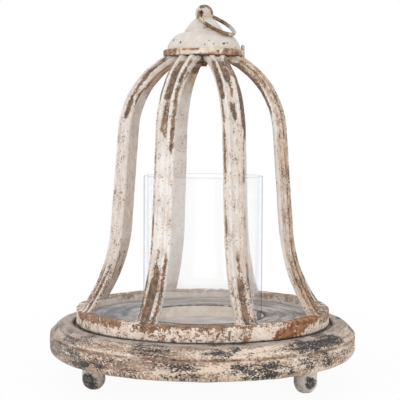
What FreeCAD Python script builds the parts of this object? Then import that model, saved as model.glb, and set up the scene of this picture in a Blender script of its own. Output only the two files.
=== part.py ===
import FreeCAD, Part
import math
import os
from FreeCAD import Vector

os.makedirs("parts", exist_ok=True)

# Base disc, millimetres
base_d = 305.0
base_t = 31.3
base_lower_round = 8.0
base_slope_drop = 9.8
base_brow_round = 9.0
rim_land = 13.6
bead_line_w = 1.8
bead_line_depth = 0.9
recess_depth = 5.7

# Feet
foot_count = 3
foot_d = 22.0
foot_h = 26.9
foot_sole_d = 9.0
foot_round_h = 11.5
foot_sag = 2.2
foot_neck_d = 18.0
foot_neck_h = 5.0
foot_neck_sag = 0.7
foot_inset = 35.1
tenon_d = 10.0
tenon_l = 14.0
tenon_gap = 0.1
tenon_end_gap = 1.0

# Floor board that locates the cage and the glass
board_t = 12.4
board_round = 1.2
board_gap = 0.6
screw_count = 3
screw_d = 4.0
screw_head_d = 8.0
screw_bite = 8.0
screw_gap = 0.05
screw_slot_w = 1.0
screw_slot_depth = 0.9

# Glass sleeve
glass_d = 119.2
glass_wall = 3.0
glass_h = 152.0
glass_gap = 2.0

# Cage ring
ring_d = 252.8
ring_wall = 11.4
ring_h = 20.7
ring_round = 1.5
ring_recess_gap = 3.6

# Ribs: flare at the foot, leaning waist, round shoulder
rib_count = 8
rib_w = 20.0
rib_depth = 8.0
rib_inset = 1.1
rib_chamfer = 0.8
rib_bead_w = 3.9
rib_bead_rise = 1.7
rib_flute_w = 6.6
rib_flute_sag = 1.0
rib_quirk_depth = 2.6
flare_h = 80.8
flare_r = 150.9
waist_h = 96.0
waist_lean_deg = 4.44
shoulder_r = 88.3
rib_spare = 6.0

# Crown: ring under the plate, plate, dome, finial and what ties them together
crown_ring_d = 60.0
crown_ring_wall = 8.0
crown_ring_h = 7.0
plate_d = 80.6
plate_t = 7.2
plate_round = 1.8
rib_top_inset = 0.8
dome_d = 73.0
dome_top_d = 41.4
dome_h = 17.3
dome_sag = 4.0
dome_wall = 2.5
finial_d = 38.8
finial_step = 1.2
finial_sag = 0.9
neck_d = 15.8
ball_d = 17.8
ball_rise = 18.9
stud_d = 6.0
stud_bite = 8.0
stud_gap = 0.2
thread_gap = 0.05
stud_end = 2.0
washer_d = 16.0
washer_t = 1.6
nut_af = 10.0
nut_h = 5.0
nut_sides = 6
pin_d = 2.8
pin_head_d = 3.4
pin_head_h = 5.4
pin_gap = 0.4
pin_angle_deg = 88.0

# Ring handle through the ball
handle_d = 38.6
wire_d = 3.8
handle_hole_d = 6.4
handle_hole_round = 1.4
handle_hole_drop = 1.0
handle_shift = 0.8
handle_turn_deg = 35.0
handle_gap = 0.3

# Levels and radii that follow from the sizes above
base_r = base_d / 2
ring_r = ring_d / 2
ring_inner_r = ring_r - ring_wall
recess_r = ring_r + ring_recess_gap
board_r = ring_inner_r - board_gap
pocket_r = glass_d / 2 + glass_gap
screw_circle_r = (board_r + pocket_r) / 2
foot_circle_r = base_r - foot_inset
z_base_top = foot_h + base_t
z_recess = z_base_top - recess_depth
z_ring_top = z_recess + ring_h
lean = math.radians(waist_lean_deg)
flare_end = math.asin(math.sin(lean) + flare_h / flare_r)
rib_foot_r = ring_r - rib_inset
waist_low_r = rib_foot_r - flare_r * (math.cos(lean) - math.cos(flare_end))
z_waist_low = z_ring_top + flare_h
waist_top_r = waist_low_r - waist_h * math.tan(lean)
z_waist_top = z_waist_low + waist_h
shoulder_centre_r = waist_top_r - shoulder_r * math.cos(lean)
z_shoulder_centre = z_waist_top - shoulder_r * math.sin(lean)
rib_top_r = plate_d / 2 - rib_top_inset
crown_ring_r = crown_ring_d / 2
z_plate = z_shoulder_centre + math.sqrt(shoulder_r ** 2 - (rib_top_r - shoulder_centre_r) ** 2)
z_dome = z_plate + plate_t
z_finial = z_dome + dome_h
z_ball = z_finial + ball_rise
z_hinge = z_ball - handle_hole_drop
up = Vector(0, 0, 1)


def at(r, z):
    return Vector(r, 0, z)


def line(a, b):
    return Part.LineSegment(a, b).toShape()


def bulge(a, b, sag):
    # Arc from a to b whose middle stands off the chord to the right of the way it runs
    run = b.sub(a)
    side = Vector(run.z, 0, -run.x).normalize()
    middle = a.add(b).multiply(0.5).add(side.multiply(sag))
    return Part.Arc(a, middle, b).toShape()


def quarter(a, b, centre):
    # Quarter arc between two points that are square to each other about the centre
    out = a.sub(centre).add(b.sub(centre)).normalize()
    middle = centre.add(out.multiply(a.sub(centre).Length))
    return Part.Arc(a, middle, b).toShape()


def lathe(edges):
    return Part.Face(Part.Wire(edges)).revolve(Vector(0, 0, 0), up, 360)


def spun(shape, angle_deg):
    # Turned about the upright axis; angles count from the front, to the right
    turned = shape.copy()
    turned.rotate(Vector(0, 0, 0), up, angle_deg - 90)
    return turned


def on_circle(angle_deg, r):
    a = math.radians(angle_deg)
    return Vector(r * math.sin(a), -r * math.cos(a), 0)


def foot_angles():
    return [180 + 360 * k / foot_count for k in range(foot_count)]


def screw_angles():
    return [360 * k / screw_count for k in range(screw_count)]


def rib_angles():
    return [180 / rib_count + 360 * k / rib_count for k in range(rib_count)]


def screw_cone_h():
    return (screw_head_d - screw_d) / 2


def rounded(before, corner, after, radius):
    # Start, middle and end of the arc that rounds a corner between two straight runs
    back = before.sub(corner).normalize()
    on = after.sub(corner).normalize()
    half = back.getAngle(on) / 2
    reach = radius / math.tan(half)
    middle = Vector(back).add(on).normalize().multiply(radius / math.sin(half) - radius)
    return corner.add(back.multiply(reach)), corner.add(middle), corner.add(on.multiply(reach))


def base_disc():
    sole_r = base_r - base_lower_round
    z_side = foot_h + base_lower_round
    line_high = at(base_r, z_base_top - base_slope_drop)
    line_low = at(base_r, line_high.z - bead_line_w)
    lip = at(recess_r, z_base_top)
    brow = rounded(line_high, at(recess_r + rim_land, z_base_top), lip, base_brow_round)
    disc = lathe([
        line(at(0, foot_h), at(sole_r, foot_h)),
        quarter(at(sole_r, foot_h), at(base_r, z_side), at(sole_r, z_side)),
        line(at(base_r, z_side), line_low),
        bulge(line_low, line_high, -bead_line_depth),
        line(line_high, brow[0]),
        Part.Arc(*brow).toShape(),
        line(brow[2], lip),
        line(lip, at(recess_r, z_recess)),
        line(at(recess_r, z_recess), at(0, z_recess)),
        line(at(0, z_recess), at(0, foot_h)),
    ])
    for angle in foot_angles():
        hole = Part.makeCylinder(tenon_d / 2 + tenon_gap, tenon_l + tenon_end_gap, at(0, foot_h))
        hole.translate(on_circle(angle, foot_circle_r))
        disc = disc.cut(hole)
    for angle in screw_angles():
        disc = disc.cut(screw_space(angle))
    return disc


def screw_space(angle):
    shank = Part.makeCylinder(screw_d / 2 + screw_gap, z_recess - foot_h + screw_bite, at(0, foot_h))
    sink = Part.makeCone(screw_head_d / 2 + screw_gap, screw_d / 2 + screw_gap, screw_cone_h(), at(0, foot_h))
    space = shank.fuse(sink)
    space.translate(on_circle(angle, screw_circle_r))
    return space


def board_screws():
    screws = []
    for angle in screw_angles():
        shank = Part.makeCylinder(screw_d / 2, z_recess - foot_h + screw_bite, at(0, foot_h))
        head = Part.makeCone(screw_head_d / 2, screw_d / 2, screw_cone_h(), at(0, foot_h))
        slot_corner = Vector(-screw_head_d, -screw_slot_w / 2, foot_h)
        slot = Part.makeBox(2 * screw_head_d, screw_slot_w, screw_slot_depth, slot_corner)
        screw = shank.fuse(head).cut(slot)
        screw.translate(on_circle(angle, screw_circle_r))
        screws.append(screw)
    return Part.makeCompound(screws)


def floor_board():
    z_top = z_recess + board_t
    z_round = z_top - board_round
    inner = pocket_r + board_round
    outer = board_r - board_round
    board = lathe([
        line(at(pocket_r, z_recess), at(board_r, z_recess)),
        line(at(board_r, z_recess), at(board_r, z_round)),
        quarter(at(board_r, z_round), at(outer, z_top), at(outer, z_round)),
        line(at(outer, z_top), at(inner, z_top)),
        quarter(at(inner, z_top), at(pocket_r, z_round), at(inner, z_round)),
        line(at(pocket_r, z_round), at(pocket_r, z_recess)),
    ])
    for angle in screw_angles():
        board = board.cut(screw_space(angle))
    return board


def foot(angle):
    sole = foot_sole_d / 2
    r = foot_d / 2
    neck = foot_neck_d / 2
    z_neck = foot_h - foot_neck_h
    z_tenon = foot_h + tenon_l
    turned = lathe([
        line(at(0, 0), at(sole, 0)),
        bulge(at(sole, 0), at(r, foot_round_h), foot_sag),
        line(at(r, foot_round_h), at(r, z_neck)),
        bulge(at(r, z_neck), at(neck, foot_h), foot_neck_sag),
        line(at(neck, foot_h), at(tenon_d / 2, foot_h)),
        line(at(tenon_d / 2, foot_h), at(tenon_d / 2, z_tenon)),
        line(at(tenon_d / 2, z_tenon), at(0, z_tenon)),
        line(at(0, z_tenon), at(0, 0)),
    ])
    turned.translate(on_circle(angle, foot_circle_r))
    return turned


def glass_sleeve():
    outer = glass_d / 2
    inner = outer - glass_wall
    z_rim = z_recess + glass_h - glass_wall / 2
    return lathe([
        line(at(inner, z_recess), at(outer, z_recess)),
        line(at(outer, z_recess), at(outer, z_rim)),
        bulge(at(outer, z_rim), at(inner, z_rim), glass_wall / 2),
        line(at(inner, z_rim), at(inner, z_recess)),
    ])


def cage_ring():
    z_round = z_ring_top - ring_round
    outer = ring_r - ring_round
    inner = ring_inner_r + ring_round
    return lathe([
        line(at(ring_inner_r, z_recess), at(ring_r, z_recess)),
        line(at(ring_r, z_recess), at(ring_r, z_round)),
        quarter(at(ring_r, z_round), at(outer, z_ring_top), at(outer, z_round)),
        line(at(outer, z_ring_top), at(inner, z_ring_top)),
        quarter(at(inner, z_ring_top), at(ring_inner_r, z_round), at(inner, z_round)),
        line(at(ring_inner_r, z_round), at(ring_inner_r, z_recess)),
    ])


def rib_section(origin, tilt):
    # Two beads with a flute between them and a quirk outside each; u runs across, v outwards
    out = at(math.cos(tilt), math.sin(tilt))

    def place(u, v):
        return origin.add(Vector(0, u, 0)).add(Vector(out).multiply(v))

    def straight(a, b):
        return line(place(*a), place(*b))

    def curved(a, middle, b):
        return Part.Arc(place(*a), place(*middle), place(*b)).toShape()

    half = rib_w / 2
    flute = rib_flute_w / 2
    crest = flute + rib_bead_w / 2
    quirk = flute + rib_bead_w
    low = -rib_bead_rise
    step = -rib_quirk_depth
    edge = half - rib_chamfer
    knee = step - rib_chamfer
    back = -rib_depth
    heel = back + rib_chamfer
    return Part.Face(Part.Wire([
        curved((flute, low), (0, low - rib_flute_sag), (-flute, low)),
        curved((-flute, low), (-crest, 0), (-quirk, low)),
        straight((-quirk, low), (-quirk, step)),
        straight((-quirk, step), (-edge, step)),
        straight((-edge, step), (-half, knee)),
        straight((-half, knee), (-half, heel)),
        straight((-half, heel), (-edge, back)),
        straight((-edge, back), (edge, back)),
        straight((edge, back), (half, heel)),
        straight((half, heel), (half, knee)),
        straight((half, knee), (edge, step)),
        straight((edge, step), (quirk, step)),
        straight((quirk, step), (quirk, low)),
        curved((quirk, low), (crest, 0), (flute, low)),
    ]))


def rib():
    # The waist runs straight; flare and shoulder turn its end sections about their centres
    across = Vector(0, -1, 0)
    flare_centre = at(waist_low_r + flare_r * math.cos(lean), z_waist_low + flare_r * math.sin(lean))
    flare_turn = flare_end - lean + rib_spare / flare_r
    shoulder_centre = at(shoulder_centre_r, z_shoulder_centre)
    shoulder_end = math.acos((crown_ring_r - rib_spare - shoulder_centre_r) / shoulder_r)
    low = rib_section(at(waist_low_r, z_waist_low), lean)
    high = rib_section(at(waist_top_r, z_waist_top), lean)
    flare = low.revolve(flare_centre, across, math.degrees(flare_turn))
    waist = low.extrude(at(waist_top_r - waist_low_r, waist_h))
    shoulder = high.revolve(shoulder_centre, across, math.degrees(shoulder_end - lean))
    bar = waist.fuse([flare, shoulder])
    slab = Part.makeBox(base_r, 2 * rib_w, z_plate - z_ring_top, Vector(0, -rib_w, z_ring_top))
    core = Part.makeCylinder(crown_ring_r, z_plate - z_waist_top, at(0, z_waist_top))
    return bar.common(slab).cut(core)


def crown_ring():
    outer = Part.makeCylinder(crown_ring_r, crown_ring_h, at(0, z_plate - crown_ring_h))
    inner = Part.makeCylinder(crown_ring_r - crown_ring_wall, crown_ring_h, at(0, z_plate - crown_ring_h))
    return outer.cut(inner)


def crown_plate():
    r = plate_d / 2
    hole = stud_d / 2 + stud_gap
    inset = r - plate_round
    low = z_plate + plate_round
    high = z_dome - plate_round
    plate = lathe([
        line(at(hole, z_plate), at(inset, z_plate)),
        quarter(at(inset, z_plate), at(r, low), at(inset, low)),
        line(at(r, low), at(r, high)),
        quarter(at(r, high), at(inset, z_dome), at(inset, high)),
        line(at(inset, z_dome), at(hole, z_dome)),
        line(at(hole, z_dome), at(hole, z_plate)),
    ])
    pin_hole = Part.makeCylinder(pin_d / 2 + thread_gap, plate_t, at(0, z_plate))
    pin_hole.translate(on_circle(pin_angle_deg, pin_circle_r()))
    return plate.cut(pin_hole)


def pin_circle_r():
    return (dome_d + pin_head_d) / 2 + pin_gap


def cap_pin():
    shank = Part.makeCylinder(pin_d / 2, plate_t, at(0, z_plate))
    head = Part.makeCylinder(pin_head_d / 2, pin_head_h - pin_head_d / 2, at(0, z_dome))
    cap = Part.makeSphere(pin_head_d / 2, at(0, z_dome + pin_head_h - pin_head_d / 2))
    pin = shank.fuse(head).fuse(cap).removeSplitter()
    pin.translate(on_circle(pin_angle_deg, pin_circle_r()))
    return pin


def cap_dome():
    r = dome_d / 2
    top = dome_top_d / 2
    hole = stud_d / 2 + stud_gap
    z_under = z_finial - dome_wall
    return lathe([
        line(at(r - dome_wall, z_dome), at(r, z_dome)),
        bulge(at(r, z_dome), at(top, z_finial), dome_sag),
        line(at(top, z_finial), at(hole, z_finial)),
        line(at(hole, z_finial), at(hole, z_under)),
        line(at(hole, z_under), at(top - dome_wall / 2, z_under)),
        bulge(at(top - dome_wall / 2, z_under), at(r - dome_wall, z_dome), -dome_sag),
    ])


def handle_axis():
    # Level axis of the hole in the ball, its near end turned to the left
    turn = math.radians(handle_turn_deg)
    return Vector(-math.sin(turn), -math.cos(turn), 0)


def handle_hole():
    # Straight hole with rounded mouths
    r = handle_hole_d / 2
    wide = r + handle_hole_round
    mouth = math.sqrt((ball_d / 2) ** 2 - wide ** 2)
    end = ball_d
    half = Part.Wire([
        line(at(0, 0), at(r, 0)),
        line(at(r, 0), at(r, mouth - handle_hole_round)),
        quarter(at(r, mouth - handle_hole_round), at(wide, mouth), at(wide, mouth - handle_hole_round)),
        line(at(wide, mouth), at(wide, end)),
        line(at(wide, end), at(0, end)),
        line(at(0, end), at(0, 0)),
    ])
    near = Part.Face(half).revolve(Vector(0, 0, 0), up, 360)
    far = near.mirror(Vector(0, 0, 0), up)
    cutter = near.fuse(far)
    cutter.Placement = FreeCAD.Placement(at(0, z_hinge), FreeCAD.Rotation(up, handle_axis()))
    return cutter


def finial():
    r = finial_d / 2
    neck = neck_d / 2
    ball = ball_d / 2
    z_neck = z_ball - math.sqrt(ball ** 2 - neck ** 2)
    hole = stud_d / 2 + thread_gap
    z_hole = z_finial + stud_bite
    knob = lathe([
        line(at(hole, z_finial), at(r, z_finial)),
        line(at(r, z_finial), at(r, z_finial + finial_step)),
        bulge(at(r, z_finial + finial_step), at(neck, z_neck), finial_sag),
        Part.Arc(at(neck, z_neck), at(ball, z_ball), at(0, z_ball + ball)).toShape(),
        line(at(0, z_ball + ball), at(0, z_hole)),
        line(at(0, z_hole), at(hole, z_hole)),
        line(at(hole, z_hole), at(hole, z_finial)),
    ])
    return knob.cut(handle_hole())


def crown_stud():
    z_low = z_plate - washer_t - nut_h - stud_end
    return Part.makeCylinder(stud_d / 2, z_finial + stud_bite - z_low, at(0, z_low))


def crown_washer():
    disc = Part.makeCylinder(washer_d / 2, washer_t, at(0, z_plate - washer_t))
    hole = Part.makeCylinder(stud_d / 2 + stud_gap, washer_t, at(0, z_plate - washer_t))
    return disc.cut(hole)


def crown_nut():
    z_low = z_plate - washer_t - nut_h
    step = 360 / nut_sides
    corner_r = nut_af / 2 / math.cos(math.radians(step / 2))
    corners = [spun(Part.Vertex(corner_r, 0, z_low), step * k).Point for k in range(nut_sides + 1)]
    block = Part.Face(Part.makePolygon(corners)).extrude(Vector(0, 0, nut_h))
    return block.cut(Part.makeCylinder(stud_d / 2 + thread_gap, nut_h, at(0, z_low)))


def handle_ring(drop):
    # Ring hanging to the right, its plane dropped below level by the angle given
    axis = handle_axis()
    level = Vector(-axis.y, axis.x, 0)
    hang = level.multiply(math.cos(drop)).sub(Vector(0, 0, math.sin(drop)))
    centre = at(0, z_hinge).add(Vector(hang).multiply(handle_d / 2 - handle_shift))
    return Part.makeTorus(handle_d / 2, wire_d / 2, centre, axis.cross(hang))


def handle_rest(stops):
    # The drop at which the ring comes to within the handle gap of what it lies on
    low = 0.0
    high = math.pi / 2
    halvings = 24
    for _ in range(halvings):
        drop = (low + high) / 2
        if handle_ring(drop).distToShape(stops)[0] > handle_gap:
            low = drop
        else:
            high = drop
    return low


def build():
    dome = cap_dome()
    pieces = {
        "base_disc": base_disc(),
        "floor_board": floor_board(),
        "board_screws": board_screws(),
        "glass_sleeve": glass_sleeve(),
        "cage_ring": cage_ring(),
        "crown_ring": crown_ring(),
        "crown_plate": crown_plate(),
        "crown_stud": crown_stud(),
        "crown_washer": crown_washer(),
        "crown_nut": crown_nut(),
        "cap_dome": dome,
        "cap_pin": cap_pin(),
        "finial": finial(),
    }
    for k, angle in enumerate(foot_angles()):
        pieces[f"foot_{k + 1}"] = foot(angle)
    bar = rib()
    for k, angle in enumerate(rib_angles()):
        pieces[f"rib_{k + 1}"] = spun(bar, angle)
    drop = handle_rest(dome)
    pieces["handle_ring"] = handle_ring(drop)
    print("handle drop", round(math.degrees(drop), 3), "degrees; hinge level", round(z_hinge, 3))
    print("floor board top", round(z_recess + board_t, 3), "plate", round(z_plate, 3))
    return pieces


for name, shape in build().items():
    print(name, shape.isValid(), len(shape.Solids), round(shape.Volume, 1))
    shape.exportStep(f"parts/{name}.step")
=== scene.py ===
import math

import bmesh
import bpy
from mathutils import Matrix, Vector, noise


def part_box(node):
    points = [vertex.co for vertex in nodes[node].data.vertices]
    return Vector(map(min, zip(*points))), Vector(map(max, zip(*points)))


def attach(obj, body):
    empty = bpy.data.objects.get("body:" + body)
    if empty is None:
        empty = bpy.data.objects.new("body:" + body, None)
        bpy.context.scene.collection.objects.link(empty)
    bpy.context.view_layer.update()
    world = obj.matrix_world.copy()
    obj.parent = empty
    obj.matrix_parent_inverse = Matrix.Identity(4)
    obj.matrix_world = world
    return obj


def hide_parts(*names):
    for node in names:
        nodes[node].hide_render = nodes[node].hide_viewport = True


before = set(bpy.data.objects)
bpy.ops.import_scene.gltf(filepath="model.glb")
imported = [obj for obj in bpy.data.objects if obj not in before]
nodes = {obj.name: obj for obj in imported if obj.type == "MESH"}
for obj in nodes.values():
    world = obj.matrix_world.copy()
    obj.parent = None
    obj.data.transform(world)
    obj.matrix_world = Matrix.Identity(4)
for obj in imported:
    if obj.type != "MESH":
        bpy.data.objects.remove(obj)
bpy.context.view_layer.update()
mm = 0.001
mergeMm = 0.002  # vertices nearer than this are one


def linear(hexColour):
    def channel(start):
        value = int(hexColour[start:start + 2], 16)/255
        return value/12.92 if value <= 0.04045 else ((value + 0.055)/1.055)**2.4
    return (channel(1), channel(3), channel(5), 1.0)


def addNode(tree, kind, inputs=None, **settings):
    made = tree.nodes.new("ShaderNode" + kind)
    for name, value in settings.items():
        setattr(made, name, value)
    for key, value in (inputs or {}).items():
        if isinstance(value, bpy.types.NodeSocket):
            tree.links.new(value, made.inputs[key])
        else:
            made.inputs[key].default_value = value
    return made.outputs


def startMaterial(name):
    # Object coordinates counted in millimetres, so that pattern sizes are real sizes
    made = bpy.data.materials.new(name)
    made.use_nodes = True
    tree = made.node_tree
    tree.nodes.clear()
    metres = addNode(tree, "TexCoord")["Object"]
    place = addNode(tree, "VectorMath", {0: metres, "Scale": 1/mm}, operation="SCALE")["Vector"]
    return made, tree, place


def closeMaterial(tree, colour, roughness, height, reliefMm, **sockets):
    bump = addNode(tree, "Bump", {"Height": height, "Distance": reliefMm*mm, "Strength": 1.0})[0]
    inputs = {"Base Color": colour, "Roughness": roughness, "Normal": bump}
    inputs.update(sockets)
    surface = addNode(tree, "BsdfPrincipled", inputs)[0]
    addNode(tree, "OutputMaterial", {"Surface": surface})


# Settings that all the paints share: where noise, which runs from about 0.3 to 0.7, starts and stops
# counting for tones and crumbs, how far wear lifts a patch, and how specks and worn spots fade
pattern = {
    "toneFrom": 0.38, "toneTo": 0.62, "wearLift": 0.36, "speckIn": 0.2, "speckOut": 0.31, "speckSpacing": 2.2,
    "crumbFrom": 0.55, "crumbTo": 0.62, "crumbHeight": 0.25, "spotCore": 0.45,
}


def tint(tree, place, look, sizeMm, pair):
    # Two close tones of one coat, drifting over the size given
    drift = addNode(tree, "TexNoise", {"Vector": place, "Scale": 1/sizeMm, "Detail": 3.0,
                                       "Roughness": 0.55})[0]
    share = addNode(tree, "MapRange", {0: drift, 1: pattern["toneFrom"], 2: pattern["toneTo"]},
                    interpolation_type="SMOOTHSTEP")[0]
    tones = {0: share, 6: linear(look[pair[0]]), 7: linear(look[pair[1]])}
    return addNode(tree, "Mix", tones, data_type="RGBA")[2]


def wornLevel(tree, place, streak, wear, look):
    # Broad patches broken up by flakes: their level, and where it passes the limit and the coat is gone.
    # Wear, 0 for whole to 1 for gone, lifts them
    patch = addNode(tree, "TexNoise", {"Vector": streak, "Scale": 1/look["patchMm"], "Detail": 4.0,
                                       "Roughness": 0.6})[0]
    flake = addNode(tree, "TexNoise", {"Vector": place, "Scale": 1/look["flakeMm"], "Detail": 2.0,
                                       "Roughness": 0.6})[0]
    both = addNode(tree, "Mix", {0: look["flakeShare"], 2: patch, 3: flake}, data_type="FLOAT")[0]
    level = addNode(tree, "Math", {0: wear, 1: pattern["wearLift"], 2: both}, operation="MULTIPLY_ADD")[0]
    limits = {0: level, 1: look["limit"] - look["softness"], 2: look["limit"] + look["softness"]}
    gone = addNode(tree, "MapRange", limits, interpolation_type="SMOOTHSTEP")[0]
    return level, gone


def specks(tree, place, wear, look):
    # Pin-head chips: one cell in a few holds a speck of irregular outline, more where wear is high
    size = look["speckMm"]
    wobble = addNode(tree, "TexNoise", {"Vector": place, "Scale": 1/size, "Detail": 2.0})[1]
    nudge = addNode(tree, "VectorMath", {0: wobble, "Scale": size/2}, operation="SCALE")["Vector"]
    moved = addNode(tree, "VectorMath", {0: place, 1: nudge}, operation="ADD")["Vector"]
    cells = addNode(tree, "TexVoronoi", {"Vector": moved, "Scale": 1/(size*pattern["speckSpacing"])})
    near = addNode(tree, "MapRange", {0: cells["Distance"], 1: pattern["speckIn"], 2: pattern["speckOut"],
                                      3: 1.0, 4: 0.0}, interpolation_type="SMOOTHSTEP")[0]
    lot = addNode(tree, "SeparateColor", {0: cells["Color"]})[0]
    share = addNode(tree, "Math", {0: wear, 1: look["speckGain"], 2: look["speckShare"]},
                    operation="MULTIPLY_ADD")[0]
    chosen = addNode(tree, "Math", {0: lot, 1: share}, operation="LESS_THAN")[0]
    return addNode(tree, "Math", {0: near, 1: chosen}, operation="MULTIPLY")[0]


def layeredPaint(tree, place, streak, wear, look, stained=0.0):
    # A pale coat over a darker one: bare where the level passes the limit, with a stained margin round it
    # and crumbs of the coat left inside
    level, gone = wornLevel(tree, place, streak, wear, look)
    margin = addNode(tree, "MapRange", {0: level, 1: look["limit"] - look["stainReach"], 2: look["limit"],
                                        4: look["stainShare"]})[0]
    margin = addNode(tree, "Math", {0: margin, 1: stained}, operation="MAXIMUM")[0]
    crumb = addNode(tree, "TexNoise", {"Vector": place, "Scale": 1/look["crumbMm"], "Detail": 2.0})[0]
    kept = addNode(tree, "MapRange", {0: crumb, 1: pattern["crumbFrom"], 2: pattern["crumbTo"],
                                      3: 1.0, 4: 1 - look["crumbShare"]})[0]
    flaked = addNode(tree, "Math", {0: gone, 1: kept}, operation="MULTIPLY")[0]
    chips = specks(tree, place, wear, look)
    bare = addNode(tree, "Math", {0: flaked, 1: chips}, operation="MAXIMUM")[0]
    coat = tint(tree, place, look, look["driftMm"], ("topCoat", "topShade"))
    aged = addNode(tree, "Mix", {0: margin, 6: coat, 7: linear(look["stain"])}, data_type="RGBA")[2]
    under = tint(tree, place, look, look["underMm"], ("primer", "primerWarm"))
    colour = addNode(tree, "Mix", {0: bare, 6: aged, 7: under}, data_type="RGBA")[2]
    roughness = addNode(tree, "MapRange", {0: bare, 3: look["roughness"][0], 4: look["roughness"][1]})[0]
    height = addNode(tree, "Math", {0: crumb, 1: pattern["crumbHeight"]}, operation="MULTIPLY")[0]
    height = addNode(tree, "Math", {0: height, 1: bare}, operation="SUBTRACT")[0]
    return colour, roughness, height


def nearSpots(tree, place, spots):
    # Wear round a few points of a solid that carries no attribute of its own
    wear = 0.0
    for centre, reach, amount in spots:
        away = addNode(tree, "VectorMath", {0: place, 1: centre}, operation="DISTANCE")["Value"]
        here = addNode(tree, "MapRange", {0: away, 1: reach*pattern["spotCore"], 2: reach, 3: amount, 4: 0.0},
                       interpolation_type="SMOOTHSTEP")[0]
        wear = addNode(tree, "Math", {0: here, 1: wear}, operation="MAXIMUM")[0]
    return wear


def radiusOf(tree, place):
    # Distance from the lantern's axis, and height
    axes = addNode(tree, "SeparateXYZ", {0: place})
    across = addNode(tree, "CombineXYZ", {0: axes["X"], 1: axes["Y"], 2: 0.0})[0]
    return addNode(tree, "VectorMath", {0: across}, operation="LENGTH")["Value"], axes["Z"]


def roundStreaks(tree, place, streakR):
    # Coordinates drawn on a smaller circle, so that a pattern stretches round the axis and has no seam
    radius, up = radiusOf(tree, place)
    level = addNode(tree, "VectorMath", {0: place, 1: (1.0, 1.0, 0.0)}, operation="MULTIPLY")["Vector"]
    heading = addNode(tree, "VectorMath", {0: level}, operation="NORMALIZE")["Vector"]
    circle = addNode(tree, "VectorMath", {0: heading, "Scale": streakR}, operation="SCALE")["Vector"]
    profile = addNode(tree, "Math", {0: up, 1: radius}, operation="SUBTRACT")[0]
    rise = addNode(tree, "CombineXYZ", {2: profile})[0]
    return addNode(tree, "VectorMath", {0: circle, 1: rise}, operation="ADD")["Vector"], radius, up


# Chalk paint over grey-brown primer on the cage's ribs: matt ivory, gone from the hollows near both ends
ribPaint = {
    "topCoat": "#F4F0EC", "topShade": "#E8E2DC", "stain": "#C6A88E", "primer": "#57473B",
    "primerWarm": "#8F6C50",
    "driftMm": 18.0, "underMm": 6.0, "patchMm": 6.0, "flakeMm": 1.4, "flakeShare": 0.5, "limit": 0.69,
    "softness": 0.045, "stainReach": 0.15, "stainShare": 0.65, "crumbMm": 1.2, "crumbShare": 0.4,
    "speckMm": 0.95, "speckShare": 0.14, "speckGain": 0.32, "stretch": 2.6, "roughness": (0.75, 0.6),
    "reliefMm": 0.22, "cloudMm": 3.5, "cloudFrom": (0.36, 0.64), "cloudShare": (0.35, 1.25),
}


def ribMaterial():
    look = ribPaint
    made, tree, place = startMaterial("ivoryChalkPaintOverBrownPrimer")
    ribPlace = addNode(tree, "Attribute", attribute_name="ribPlace")["Vector"]
    streak = addNode(tree, "VectorMath", {0: ribPlace, 1: (1.0, 1/look["stretch"], 1.0)},
                     operation="MULTIPLY")["Vector"]
    cloud = addNode(tree, "TexNoise", {"Vector": streak, "Scale": 1/look["cloudMm"], "Detail": 4.0,
                                       "Roughness": 0.65})[0]
    (low, high), (least, most) = look["cloudFrom"], look["cloudShare"]
    clouded = addNode(tree, "MapRange", {0: cloud, 1: low, 2: high, 3: least, 4: most})[0]
    stain = addNode(tree, "Attribute", attribute_name="stain")["Fac"]
    stained = addNode(tree, "Math", {0: stain, 1: clouded}, operation="MULTIPLY")[0]
    wear = addNode(tree, "Attribute", attribute_name="wear")["Fac"]
    colour, roughness, height = layeredPaint(tree, place, streak, wear, look, stained)
    closeMaterial(tree, colour, roughness, height, look["reliefMm"])
    return made


# Flaking ivory on the iron hoop: islands of paint on brown, the top edge rubbed bare, one patch gone to rust
hoopPaint = {
    "topCoat": "#FAEFE4", "topShade": "#F0DFD0", "stain": "#D6B69B", "primer": "#684D3D",
    "primerWarm": "#9F704C",
    "driftMm": 16.0, "underMm": 7.0, "patchMm": 6.0, "flakeMm": 1.9, "flakeShare": 0.5, "limit": 0.66,
    "softness": 0.03, "stainReach": 0.1, "stainShare": 0.6, "crumbMm": 1.5, "crumbShare": 0.5,
    "speckMm": 0.9, "speckShare": 0.1, "speckGain": 0.2, "roughness": (0.78, 0.65), "reliefMm": 0.3,
    "rust": "#B07C52", "rustDark": "#80522F", "rustMm": 3.2, "oxideMm": 4.5, "rustLift": 0.6,
    "rustFrom": (0.78, 0.86), "inside": "#F0E8E2", "insideShade": "#DAD1CB", "insideMm": 14.0,
    # the near-black brown on this line and the next, with its drop, reach and share, is painted shade where
    # the hoop drops into the base
    "insideWear": (0.22, 0.5), "insideShare": (0.75, 0.3), "brimShade": "#2F2620", "brimShadeDrop": 0.7,
    "brimShadeMm": (0.8, 2.0), "brimShadeShare": 0.9,
}


def rustPatches(tree, place, look):
    # Ragged patches where the hoop's vertices carry rust
    rust = addNode(tree, "Attribute", attribute_name="rust")["Fac"]
    rough = addNode(tree, "TexNoise", {"Vector": place, "Scale": 1/look["rustMm"], "Detail": 4.0,
                                       "Roughness": 0.7})[0]
    ragged = addNode(tree, "Math", {0: rust, 1: look["rustLift"], 2: rough}, operation="MULTIPLY_ADD")[0]
    return addNode(tree, "MapRange", {0: ragged, 1: look["rustFrom"][0], 2: look["rustFrom"][1]},
                   interpolation_type="SMOOTHSTEP")[0]


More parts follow.
